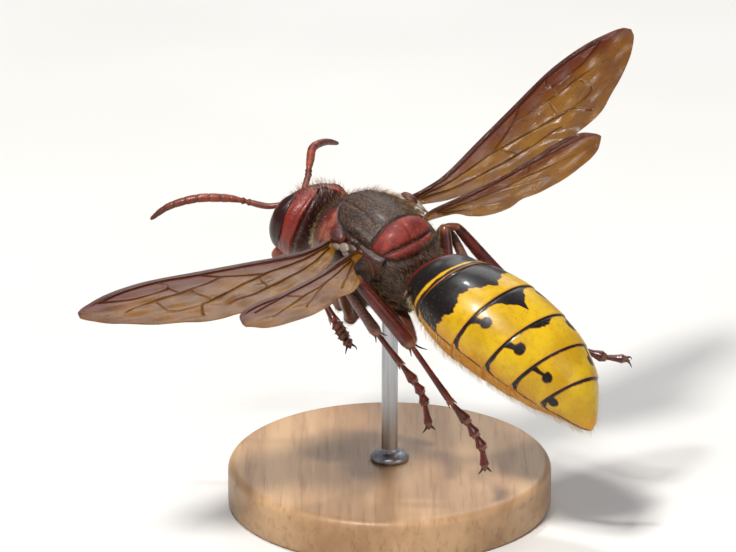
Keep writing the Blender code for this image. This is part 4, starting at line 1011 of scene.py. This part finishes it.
def wing_turn(side):
    """From a wing's plane to the body frame, as a matrix and a root."""
    mirror = np.array((1, side, 1))
    span = unit(FOREWING_SPAN * mirror)
    chord = np.array((-1.0, 0, 0))
    chord = unit(chord - span * chord.dot(span))
    up = np.cross(span, chord) * -side
    return np.stack([span, chord, up], 1), FOREWING_ROOT * mirror


def wing_sheet(front, rear, veins, rows, cols, arched, flat_at):
    """A thin closed sheet in the wing's plane, with the numbers that its finish reads."""
    start, tip = front[0][0], front[-1][0]
    t = np.linspace(0, 1, rows)
    reach = np.where(t < 0.85, t / 0.85 * 0.93, 0.93 + 0.07 * np.sin((t - 0.85) / 0.15 * math.pi / 2))
    span = start + (tip - start) * reach
    near, far = (read_curve(line, span)[:, None] for line in (front, rear))
    across = np.broadcast_to(spaced(cols, 0.65), (rows, cols))
    x = np.broadcast_to(span[:, None], (rows, cols))
    y = near + (far - near) * across
    vein = np.zeros_like(y)
    for width, line in veins:
        vein = np.maximum(vein, np.clip(1.4 - near_line(x, y, line) / width, 0, 1) * (width / 0.07) ** 0.5)
    swell = COSTA_SWELL * bump(x - 0.62 * tip, 0.6 * tip)
    costa = within(COSTA_WIDTH + swell - (y - near)) * (1 - ease(x / tip, 0.86, 0.96))
    stiff = VEIN_HALF + ROOT_HALF * np.exp(-np.clip(x, 0, None) / 2.0)
    edge = np.minimum(across, 1 - across) * (far - near)
    half = (MEMBRANE_HALF + stiff * np.maximum(vein, 0.8 * costa)) * np.sqrt(np.clip(edge / 0.06, 0.02, 1))
    outer = ease(x, 0.45 * tip, 0.7 * tip)
    ripple = 0.03 * np.sin(y * 5.5 + 0.6 * x) * outer + 0.02 * np.sin(x * 2.4 + 2 * y)
    fan = np.arctan2(y, x + FAN_BEHIND)
    pleat = np.sin(PLEATS * fan + 0.8 * np.sin(0.9 * x)) * (0.6 + 0.4 * np.sin(1.7 * x + 9 * fan))
    pleat = pleat * PLEAT_DEPTH * np.hypot(x + FAN_BEHIND, y)
    pleat = pleat * ease(0.72 * tip - x, 0, 0.25 * tip) * ease(x, 0.2, 1.5)
    middle = ripple * ease(across, 0.05, 0.4) + pleat * ease(across, 0.35, 0.6) - arched * (y - flat_at) ** 2
    upper, lower = np.stack([x, y, middle + half], -1), np.stack([x, y, middle - half], -1)
    values = {"vein": vein, "costa": costa, "share": x / tip, "chord": across}
    there_and_back = {key: np.concatenate([v, v[:, ::-1]], axis=1) for key, v in values.items()}
    return np.concatenate([upper, lower[:, ::-1]], axis=1), there_and_back


def membrane_finish():
    finish = Finish("wing membrane", roughness=0.2, coat=0.0, specular=0.18)
    clouds = finish.noise(0.45, 4)
    fine = finish.noise(6.0, 3)
    wrinkles = finish.noise(0.012, 4, 0.65, (9.0, 1.0, 1.0), "UV")
    vein, costa, chord, share = (finish.number(n) for n in ("vein", "costa", "chord", "share"))
    amber = finish.blend(clouds.step(0.35, 0.65), rgb(92, 52, 2), rgb(118, 76, 4))
    amber = finish.blend(wrinkles.step(0.5, 0.75) * 0.4, amber, rgb(152, 106, 16))
    leading = (1.0 - chord.step(0.12, 0.5)) * 0.85 + share.step(0.6, 1.0) * 0.35
    amber = finish.blend(leading, amber, rgb(74, 24, 2))
    colour = finish.blend(vein.step(0.15, 0.6) * 0.85, amber, rgb(46, 15, 4))
    colour = finish.blend(costa * 0.7, colour, rgb(50, 14, 4))
    cover = 0.8 + leading * 0.14 + clouds.step(0.3, 0.7) * 0.06 + vein * 0.5
    return finish.done(colour, 0.11 + fine * 0.08, wrinkles * 1.2 + fine * 0.2, 0.03, 0.5, cover.clamp())


membrane = membrane_finish()
hind_turn = np.array(turn_about("Z", HINDWING_SWEEP))
wings = {}
for side, word in SIDES:
    turn, root = wing_turn(side)
    for pair, shape in WINGS.items():
        grid, values = wing_sheet(*shape)
        if pair == "hind":
            grid = grid @ hind_turn.T + np.array(HINDWING_SHIFT)
        skin = Skin().tube(grid @ turn.T + root, **values)
        wings[pair, word] = skin.make("%swing_%s_skin" % (pair, word), membrane)

# %% [markdown]
# ## Wing roots
#
# A small glossy shell with a lowered rim covers the root of each front wing, and a few knobs
# of the hinge show behind it, some of them painted pale as a glint.

# %% Wing-root shells and hinges
TEGULA_PLACE, TEGULA_SIZE, TEGULA_TILT = np.array((0.75, 3.1, 2.68)), np.array((0.68, 0.5, 0.3)), 38.0
HINGE_KNOBS = [  # place, size, strength of the painted glint
    ((0.0, 2.6, 2.5), (0.36, 0.2, 0.14), 0.0), ((-0.55, 2.95, 2.3), (0.40, 0.2, 0.13), 0.15),
    ((-0.1, 3.3, 2.3), (0.5, 0.3, 0.16), 0.55), ((0.35, 3.55, 2.25), (0.34, 0.22, 0.14), 0.4),
    ((-1.1, 2.75, 2.2), (0.3, 0.16, 0.12), 0.0), ((-0.45, 3.45, 2.05), (0.34, 0.18, 0.12), 0.3),
]

TEGULA_RIM = 0.12


def dome_loops(size, rim_depth=0.0, rows=20, columns=28):
    """A rounded lump, flatter below, with a lowered rim if that has a depth."""
    polar = np.linspace(0.02, math.pi - 0.02, rows)[:, None]
    across, up = np.sin(polar), np.cos(polar)
    up = np.where(up < 0, up * 0.6, up) - rim_depth * bump(across - 0.93, 0.08)
    a = ring(columns)
    return np.stack([across * np.cos(a), across * np.sin(a), up + 0 * a], -1) * size


tegulae = {}
for side, word in SIDES:
    tilt = np.array(turn_about("X", -side * TEGULA_TILT)).T
    shell = dome_loops(TEGULA_SIZE, TEGULA_RIM, 40, 64)
    skin = Skin().tube(shell @ tilt + TEGULA_PLACE * (1, side, 1), red=0.25)
    # A knob's pale tone is a painted glint.
    for knob_place, knob_size, painted_glint in HINGE_KNOBS:
        skin.tube(dome_loops(knob_size) @ tilt + np.array(knob_place) * (1, side, 1), red=0.15, pale=painted_glint)
    tegulae[word] = skin.make("wing_shell_" + word, chitin)

# %% [markdown]
# ## Legs
#
# A leg is a hip, a short ring, a thigh, a shin with spurs at its end and a foot of five
# joints with two claws and a pad. Every joint is its own round-ended tube, so that the
# creases between them are real. The small foot joints flare like trumpets and end in
# pointed spines.

# %% Legs
LEG_JOINTS = {  # hip, neck of the thigh, knee, ankle, then the ends of the five foot joints
    "left_front": [(2.4, 1.1, -2.3), (2.0, 2.2, -4.25), (5.05, 2.5, -2.6), (3.85, 2.25, -4.8),
                   (2.25, 2.6, -5.55), (1.8, 2.65, -5.75), (1.45, 2.7, -5.95), (1.1, 2.75, -6.12),
                   (0.55, 2.85, -6.35)],
    "right_front": [(2.4, -1.1, -2.3), (2.0, -2.2, -4.25), (5.05, -2.5, -2.6), (4.0, -2.5, -4.8),
                    (2.7, -2.65, -5.6), (2.3, -2.65, -5.85), (1.95, -2.7, -6.05), (1.65, -2.7, -6.2),
                    (1.0, -2.75, -6.5)],
    "left_middle": [(0.6, 1.4, -2.7), (0.2, 2.8, -4.0), (-0.95, 4.4, 0.35), (-4.0, 3.9, -2.4),
                    (-5.65, 3.35, -4.3), (-6.55, 3.05, -5.3), (-7.05, 2.9, -6.0), (-7.4, 2.9, -6.7),
                    (-8.1, 3.2, -8.0)],
    "right_middle": [(0.6, -1.4, -2.7), (0.2, -2.8, -4.0), (-0.9, -4.6, 0.2), (-3.9, -4.7, -2.6),
                     (-5.6, -4.6, -4.4), (-6.4, -4.5, -5.3), (-6.9, -4.5, -6.0), (-7.3, -4.5, -6.6),
                     (-7.9, -4.6, -7.7)],
    "left_hind": [(-2.2, 1.2, -2.4), (-4.75, 1.8, -3.5), (-2.1, 3.95, 1.05), (-6.5, 3.1, -2.35),
                  (-9.9, 2.65, -5.45), (-11.0, 2.3, -6.5), (-11.7, 2.2, -7.25), (-12.3, 2.15, -8.0),
                  (-12.85, 2.45, -9.1)],
    "right_hind": [(-2.2, -1.2, -2.4), (-4.75, -1.8, -3.5), (-1.9, -3.9, 1.1), (-6.0, -5.6, -1.95),
                   (-9.3, -7.0, -4.4), (-10.45, -7.45, -5.2), (-11.25, -7.75, -5.75), (-12.35, -8.6, -6.2),
                   (-13.3, -9.6, -6.35)],
}
LEG_RADII = {  # hip, thigh, shin, foot
    "front": (0.62, 0.44, 0.36, 0.32), "middle": (0.66, 0.45, 0.36, 0.26), "hind": (0.70, 0.48, 0.44, 0.27),
}
# How strongly each shin is painted pale, as a painted reflection on its flat face.
SHIN_PAINTED_REFLECTION = {"left_middle": 0.6, "right_middle": 0.6, "left_front": 0.2, "right_front": 0.2}
SPUR_LENGTHS = {"front": (0.7,), "middle": (0.9, 0.75), "hind": (1.35, 0.9)}
KNEE_GAP = 0.3
HIP_SCALES = [(0, 1.0), (0.5, 1.05), (1, 0.72)]
THIGH_SCALES = [(0, 0.66), (0.12, 0.85), (0.35, 1.02), (0.75, 0.92), (1, 0.78)]
SHIN_SCALES = [(0, 0.62), (0.1, 0.74), (0.3, 0.86), (0.7, 1.0), (0.92, 1.1), (1, 0.98)]
MIDDLE_TOE = [(0, 0.55), (0.12, 0.6), (0.5, 0.9), (0.88, 1.4), (1, 1.2)]
TOE_SCALES = [[(0, 0.55), (0.12, 0.66), (0.5, 0.72), (0.85, 0.9), (1, 0.8)], MIDDLE_TOE, MIDDLE_TOE,
              MIDDLE_TOE, [(0, 0.5), (0.15, 0.6), (0.6, 0.85), (0.9, 1.15), (1, 0.95)]]
SPINE_RADII, SPUR_RADII = [(0, 0.10), (1, 0.015)], [(0, 0.11), (1, 0.02)]
CLAW_RADII, PAD_RADII = [(0, 0.13), (0.4, 0.08), (1, 0.02)], [(0, 0.11), (0.6, 0.15), (1, 0.1)]
EVEN = [(0, 1.0), (1, 1.0)]


def foot(skin, toes, size):
    """Five foot joints, their spines, two claws and a pad."""
    for a, b, scales in zip(toes, toes[1:], TOE_SCALES):
        along = unit(b - a)
        across = unit(np.cross(along, (0, 0, 1)))
        limb(skin, [a + (b - a) * s for s in (0.04, 0.5, 0.98)], 12, size, scales, 22, hair=1.0, long=0.2,
             joint=lambda t: with_ends(bump(t, 0.07) + 0.6 * bump(t - 1, 0.05), 0.6, 0.6))
        for spread in (-1, 1) if scales is not TOE_SCALES[-1] else ():
            root = b - along * 0.2 + across * spread * size * 0.8
            end = root + along * 0.42 + across * spread * 0.14
            limb(skin, [root, (root + end) / 2, end], 3, 1.0, SPINE_RADII, 8, joint=0.5)
    tip, ahead = toes[-1], unit(toes[-1] - toes[-2])
    side = unit(np.cross(ahead, (0, 0, -1.0)))
    hook = np.cross(side, ahead)
    hook = -hook if hook[2] > 0 else hook
    for spread in (-1, 1):
        claw = [tip - ahead * 0.15, tip + ahead * 0.2 + side * spread * 0.18,
                tip + ahead * 0.42 + side * spread * 0.36 + hook * 0.08,
                tip + ahead * 0.54 + side * spread * 0.44 + hook * 0.32]
        limb(skin, claw, 8, 1.0, CLAW_RADII, 14, tip=1.0, joint=0.6)
    pad = [tip, tip + ahead * 0.18 + hook * 0.04, tip + ahead * 0.32 + hook * 0.1]
    limb(skin, pad, 5, 1.0, PAD_RADII, 16, 0.6, joint=0.4)


def leg_skin(name, joints):
    """All of one leg's tubes."""
    which = name.split("_")[1]
    hip, neck, knee, ankle, *toes = (np.array(p) for p in joints)
    hip_r, thigh_r, shin_r, foot_r = LEG_RADII[which]
    skin = Skin()
    limb(skin, [hip, (hip + neck) / 2, neck], 10, hip_r, HIP_SCALES, 28, hair=0.8, long=0.35, joint=0.4)
    limb(skin, [neck, neck + (knee - neck) * 0.14], 8, thigh_r * 0.86, EVEN, 24, joint=0.4)
    limb(skin, [neck + (knee - neck) * s for s in (0.15, 0.4, 0.7, 1.0)], 12, thigh_r, THIGH_SCALES, 28,
         joint=lambda t: with_ends(bump(t, 0.05) + bump(t - 1, 0.06)), hair=0.45, long=0.22)
    thigh, shin = unit(knee - neck), unit(ankle - knee)
    fold = unit(shin - thigh * shin.dot(thigh))
    start = knee + fold * (thigh_r * 0.8 + shin_r * 0.75 + KNEE_GAP * 0.4) + thigh * 0.1
    knuckle = [knee + thigh * 0.05, knee + fold * thigh_r * 0.7 + thigh * 0.15, start]
    limb(skin, knuckle, 6, shin_r * 0.62, EVEN, 20, joint=0.6)
    shin = unit(ankle - start)
    stop = ankle - shin * (foot_r * 0.7)
    # The shin's number pale carries its painted reflection.
    limb(skin, [start + (stop - start) * s for s in (0, 0.3, 0.65, 1.0)], 14, shin_r, SHIN_SCALES, 28,
         joint=lambda t: with_ends(bump(t, 0.04) + bump(t - 1, 0.04)), pale=SHIN_PAINTED_REFLECTION.get(name, 0.0),
         hair=0.9, long=0.24)
    across = unit(np.cross(shin, (0, 0, 1)))
    for spread, long in zip((-1, 1), SPUR_LENGTHS[which]):
        root = stop - shin * 0.2 + across * spread * shin_r * 0.5
        end = root + shin * long + across * spread * long * 0.45
        limb(skin, [root, root + shin * long * 0.55 + across * spread * long * 0.12, end], 8, 1.0,
             SPUR_RADII, 12, tip=1.0)
    foot(skin, [ankle, *toes], foot_r)
    return skin


leg_chitin = limb_finish("leg chitin", (44, 9, 6), (86, 24, 14), (128, 78, 50), (22, 8, 6), 0.3, 0.4)
legs = {name: leg_skin(name, joints).make("leg_" + name, leg_chitin) for name, joints in LEG_JOINTS.items()}

# %% [markdown]
# ## Hair
#
# A node tree scatters one small bent hair over a skin: as dense and as long as the skin's
# own numbers say, leaning along the lie. It is turned into plain mesh at once. Each hair
# keeps the place of its root on the skin's unwrap, in the map OFBake.

# %% One hair
PATCH = 0.003


def one_hair(name, thickness, bend):
    """A three-sided tapered hair, one unit long, bent towards its X side."""
    points, local = [], []
    for height, taper in ((0.0, 1.0), (0.5, 0.72)):
        for k in range(3):
            turn_by = k * 2 * math.pi / 3
            points.append((thickness * taper * math.cos(turn_by) + bend * height ** 2,
                           thickness * taper * math.sin(turn_by), height))
            local.append((k / 3, height, 0.0))
    points.append((bend, 0.0, 1.0))
    local.append((0.5, 1.0, 0.0))
    faces = [(2, 1, 0)]
    for k in range(3):
        n = (k + 1) % 3
        faces += [(k, n, n + 3, k + 3), (k + 3, n + 3, 6)]
    mesh = bpy.data.meshes.new(name)
    mesh.from_pydata(points, [], faces)
    mesh.attributes.new("local", "FLOAT_VECTOR", "POINT").data.foreach_set("vector", np.ravel(local))
    mesh.shade_smooth()
    return bpy.data.objects.new(name, mesh)


# %% The tree that scatters it
class Scatter(Tree):
    """A geometry tree built node by node."""

    INPUTS = (("Skin", "Geometry"), ("Hairs per square metre", "Float"), ("Seed", "Int"),
              ("Length factor", "Float"), ("Rise", "Float"), ("Spread", "Float"))

    def __init__(self, name, hair, finish):
        super().__init__(bpy.data.node_groups.new(name, "GeometryNodeTree"))
        face = self.tree.interface
        self.ids = {title: face.new_socket(title, in_out="INPUT", socket_type="NodeSocket" + kind).identifier
                    for title, kind in self.INPUTS}
        face.new_socket("Hair", in_out="OUTPUT", socket_type="NodeSocketGeometry")
        inputs = self.add("NodeGroupInput").outputs
        skin, per_area, seed, length, rise, spread = (Flow(self, inputs[title]) for title, _ in self.INPUTS)
        scattered = self.add("GeometryNodeDistributePointsOnFaces",
                             {"Mesh": skin, "Density": per_area * self.field("hair"), "Seed": seed},
                             distribute_method="RANDOM").outputs
        normal = scattered["Normal"]
        spot = self.scaled(self.field("UVMap", "FLOAT_VECTOR"), 1 - PATCH)
        rooted = self.store(scattered["Points"], "root", spot, data_type="FLOAT_VECTOR", domain="POINT")
        low, high = (-1.0, -1.0, -1.0), (1.0, 1.0, 1.0)
        chance = self.flow("FunctionNodeRandomValue", {0: low, 1: high, "Seed": seed},
                           data_type="FLOAT_VECTOR")
        upright = self.total(self.field("lie", "FLOAT_VECTOR"), self.scaled(normal, rise))
        heading = self.total(upright, self.scaled(chance, spread))
        aimed = self.flow("FunctionNodeAlignRotationToVector", {"Vector": heading}, axis="Z")
        rolled = self.flow("FunctionNodeAlignRotationToVector",
                           {"Rotation": aimed, "Vector": self.scaled(normal, -1.0)}, axis="X", pivot_axis="Z")
        varied = self.flow("FunctionNodeRandomValue", {2: 0.6, 3: 1.25, "Seed": seed}, 1, data_type="FLOAT")
        source = self.flow("GeometryNodeObjectInfo", {"Object": hair}, "Geometry")
        copies = self.flow("GeometryNodeInstanceOnPoints",
                           {"Points": rooted, "Instance": source, "Rotation": rolled,
                            "Scale": self.field("long") * varied * length})
        real = self.flow("GeometryNodeRealizeInstances", {"Geometry": copies})
        patch = self.scaled(self.field("local", "FLOAT_VECTOR"), PATCH)
        baked = self.store(real, "OFBake", self.total(self.field("root", "FLOAT_VECTOR"), patch),
                           data_type="FLOAT2", domain="CORNER")
        painted = self.flow("GeometryNodeSetMaterial", {"Geometry": baked, "Material": finish})
        self.add("NodeGroupOutput", {0: painted})

    def field(self, name, kind="FLOAT"):
        """A number or direction stored on the points."""
        return self.flow("GeometryNodeInputNamedAttribute", {"Name": name}, data_type=kind)

    def store(self, geometry, name, value, **settings):
        """The geometry with a value stored on it."""
        return self.flow("GeometryNodeStoreNamedAttribute",
                         {"Geometry": geometry, "Name": name, "Value": value}, **settings)

    def scaled(self, vector, by):
        return self.flow("ShaderNodeVectorMath", {0: vector, "Scale": by}, operation="SCALE")

    def total(self, a, b):
        return self.flow("ShaderNodeVectorMath", {0: a, 1: b}, operation="ADD")

    def grow(self, name, skin, per_mm2, seed, rise, spread=0.25):
        """Hairs on one skin, as a plain mesh at the origin."""
        carrier = put(name + "_carrier", skin.data)
        modifier = carrier.modifiers.new("hair", "NODES")
        modifier.node_group = self.tree
        for title, value in (("Hairs per square metre", per_mm2 / MM ** 2), ("Seed", seed),
                             ("Length factor", MM), ("Rise", rise), ("Spread", spread)):
            modifier[self.ids[title]] = value
        bpy.context.view_layer.update()
        grown = carrier.evaluated_get(bpy.context.evaluated_depsgraph_get())
        mesh = bpy.data.meshes.new_from_object(grown)
        mesh.name = name
        bpy.data.objects.remove(carrier)
        mesh.calc_loop_triangles()
        print("%-20s %7d triangles" % (name, len(mesh.loop_triangles)))
        return put(name, mesh)


# %% Kinds of hair
downy, fine = one_hair("downy hair", 0.015, 0.25), one_hair("fine hair", 0.010, 0.2)
HAIR_KINDS = {  # shape, a dark and a pale tone, then a number of the skin and the tone where it is high
    "body": (downy, (104, 76, 44), (190, 152, 98), "pale", (206, 196, 172)),
    "head": (downy, (110, 70, 42), (176, 132, 84), "back", (186, 166, 140)),
    "gaster": (fine, (190, 160, 104), (226, 204, 150), "red", (120, 60, 34)),
    "limb": (downy, (96, 56, 36), (160, 108, 70), "tip", (60, 30, 18)),
}
coats = {}
for kind, (shape, dark, pale, mark, marked) in HAIR_KINDS.items():
    finish = Finish(kind + " hair", roughness=0.4, specular=0.4)
    tones = finish.noise(1.5, 3)
    colour = finish.blend(tones.step(0.3, 0.7), rgb(*dark), rgb(*pale))
    colour = finish.tint(colour, mark, 1.0, rgb(*marked))
    coats[kind] = Scatter(kind + " hair", shape, finish.done(colour, 0.35 + tones * 0.2))

# %% Hair on every part
hairs = {"thorax": coats["body"].grow("thorax_hair", thorax, 110, 11, 0.95, 0.5),
         "head": coats["head"].grow("head_hair", head, 95, 12, 1.1, 0.35)}
for plate, piece in gaster.items():
    hairs["gaster", plate] = coats["gaster"].grow("gaster_hair_%d" % plate, piece, 36, 20 + plate, 1.1)
for number, (name, piece) in enumerate(legs.items()):
    hairs["leg", name] = coats["limb"].grow("leg_hair_" + name, piece, 60, 40 + number, 0.45)

# %% [markdown]
# ## Stand
#
# A museum mount: a turned wooden disc with an eased edge, and one brushed steel rod.

# %% Stand
BASE_RADIUS, BASE_HEIGHT, BASE_EDGE, BASE_INSET = 11.0, 3.0, 0.6, 0.02
ROD_RADIUS, ROD_END = 0.55, to_world(ROD_TOP)[2] / MM


def turned(profile, columns=160):
    """Loops of a turned shape, from radius and height in millimetres."""
    radius, height = np.asarray(profile, float).T[..., None]
    a = ring(columns)
    return np.stack([radius * np.cos(a), radius * np.sin(a), height + 0 * a], -1)


def metres(points):
    """World millimetres to metres."""
    return np.asarray(points, float) * MM


def wood_finish():
    finish = Finish("base wood", roughness=0.42, coat=0.15, coat_roughness=0.3)
    grain = finish.noise(0.35, 5, 0.6, (1.0, 0.08, 0.6))
    fibre = finish.noise(3.0, 3, 0.6, (1.0, 0.05, 0.5))
    colour = finish.blend(grain.step(0.32, 0.68), rgb(150, 112, 76), rgb(182, 146, 106))
    colour = finish.blend(fibre.step(0.5, 0.75) * 0.5, colour, rgb(116, 80, 50))
    return finish.done(colour, 0.38 + fibre * 0.2, fibre, 0.05, 0.4)


def steel_finish():
    finish = Finish("rod steel", roughness=0.28, metallic=1.0)
    brush = finish.noise(3.0, 4, 0.6, (1.0, 1.0, 0.04))
    colour = finish.blend(brush.step(0.3, 0.7), rgb(150, 152, 156), rgb(190, 192, 196))
    return finish.done(colour, 0.22 + brush * 0.2, brush, 0.01, 0.4)


low_edge = [(BASE_RADIUS - 0.4, 0.0), (BASE_RADIUS - 0.1, 0.08), (BASE_RADIUS - BASE_INSET, 0.3)]
top_edge = [(BASE_RADIUS - BASE_INSET - BASE_EDGE * (1 - math.sin(a)),
             BASE_HEIGHT - BASE_EDGE * (1 - math.cos(a))) for a in np.radians(np.arange(10, -1, -1) * 9)]
face = [(BASE_RADIUS * s, BASE_HEIGHT) for s in (0.9, 0.6, 0.3, 0.1)]
base_piece = Skin().tube(turned(low_edge + top_edge + face)).make("base_disc", wood_finish(), metres)
ferrule = [(radius, BASE_HEIGHT + up) for radius, up in (
    (1.25, -0.05), (1.3, 0.25), (1.15, 0.45), (0.75, 0.6), (ROD_RADIUS, 0.75))]
shaft = [(ROD_RADIUS, h) for h in np.linspace(BASE_HEIGHT + 0.9, ROD_END + 0.4, 24)]
rod_piece = Skin().tube(turned(ferrule + shaft, 64)).make("rod", steel_finish(), metres)

# %% [markdown]
# ## Riding and replacing
#
# The model is still, so every piece rides on the one body and hides the solids it stands for.

# %% Ties to the frame
def tie(piece, slot, *nodes):
    """Ride on the body and replace the nodes. The slot is not used."""
    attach(piece, "root")
    if nodes:
        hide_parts(*nodes)


tie(thorax, "dark_red", *THORAX_NODES)
tie(head, "red_brown", "head")
for word in ("left", "right"):
    tie(eyes[word], "eye", "eye_" + word)
    tie(jaws[word], "dark_red", "mandible_" + word)
    tie(feelers[word], "dark_red", "antenna_scape_" + word, "antenna_feeler_" + word)
    tie(wings["fore", word], "membrane", "forewing_" + word)
    tie(wings["hind", word], "membrane", "hindwing_" + word)
    tie(tegulae[word], "red_brown", "tegula_" + word)
for plate, piece in gaster.items():
    tie(piece, "black_brown" if plate == 1 else "yellow", "gaster_%d" % plate)
for name, piece in legs.items():
    tie(piece, "dark_red", *("%s_%s" % (part, name) for part in ("coxa", "femur", "tibia", "tarsus")))
for piece in hairs.values():
    tie(piece, "black_brown")
tie(base_piece, "stand_base", "stand_base")
tie(rod_piece, "stand_rod", "stand_rod")

# %% [markdown]
# ## Floor, light and camera
#
# A pale floor, a soft key light high on the left near the camera, a weaker fill, a rim light
# from behind and a small lamp overhead that makes the glossy plates glint. A long lens looks
# from the photograph's angle, 20 degrees above the level.

# %% Floor
floor_mesh = bpy.data.meshes.new("floor")
floor_mesh.from_pydata([(-3, -3, 0), (3, -3, 0), (3, 3, 0), (-3, 3, 0)], [], [(0, 1, 2, 3)])
floor = put("floor", floor_mesh)
pale_floor = Finish("pale floor", roughness=0.75)
clouds = pale_floor.noise(0.02, 2).step(0.3, 0.7)
floor_mesh.materials.append(pale_floor.done(pale_floor.blend(clouds, rgb(206, 204, 200), rgb(212, 210, 206))))

# %% Lights
LAMPS = {  # direction from the thorax, distance and size in metres, power in watts, colour
    "key": ((-0.30, -0.60, 0.95), 0.45, 0.07, 2.3, (1.0, 0.98, 0.95)),
    "fill": ((0.9, -0.7, 0.5), 0.5, 0.3, 0.4, (0.95, 0.97, 1.0)),
    "rim": ((0.2, 0.9, 0.8), 0.5, 0.3, 0.8, (1.0, 1.0, 1.0)),
    "glint": ((-0.15, 0.13, 0.97), 0.45, 0.03, 0.8, (1.0, 1.0, 1.0)),
}
SKY, SKY_STRENGTH = (0.9, 0.93, 1.0, 1.0), 0.28
CENTRE = Vector(to_world((0, 0, 0)).tolist())
for name, (direction, distance, size, power, colour) in LAMPS.items():
    lamp = bpy.data.lights.new(name, "AREA")
    lamp.size, lamp.energy, lamp.color = size, power, colour
    item = put(name, lamp)
    item.location = CENTRE + Vector(direction).normalized() * distance
    item.rotation_euler = (-Vector(direction)).to_track_quat("-Z", "Y").to_euler()
world = bpy.data.worlds.new("studio")
bpy.context.scene.world = world
world.use_nodes = True
sky = world.node_tree.nodes["Background"].inputs
sky["Color"].default_value, sky["Strength"].default_value = SKY, SKY_STRENGTH
bpy.context.scene.view_settings.view_transform = "Standard"
print("lamps:", ", ".join(LAMPS))

# %% Camera
ELEVATION = math.radians(20.0)
LENS_PIXELS, FRAME_WIDTH, SENSOR, DISTANCE = 4500.0, 736.0, 36.0, 0.3
CENTRE_RIGHT, CENTRE_UP = 0.957, 1.4725
flat, steep = math.cos(ELEVATION), math.sin(ELEVATION)
aim = CENTRE - MM * Vector((CENTRE_RIGHT, CENTRE_UP * steep, CENTRE_UP * flat))
lens = bpy.data.cameras.new("camera")
lens.sensor_width, lens.lens = SENSOR, LENS_PIXELS * SENSOR / FRAME_WIDTH
lens.clip_start = 0.01
camera = put("camera", lens)
camera.location = aim + DISTANCE * Vector((0, -flat, steep))
camera.rotation_euler = (math.radians(90) - ELEVATION, 0, 0)
bpy.context.scene.camera = camera
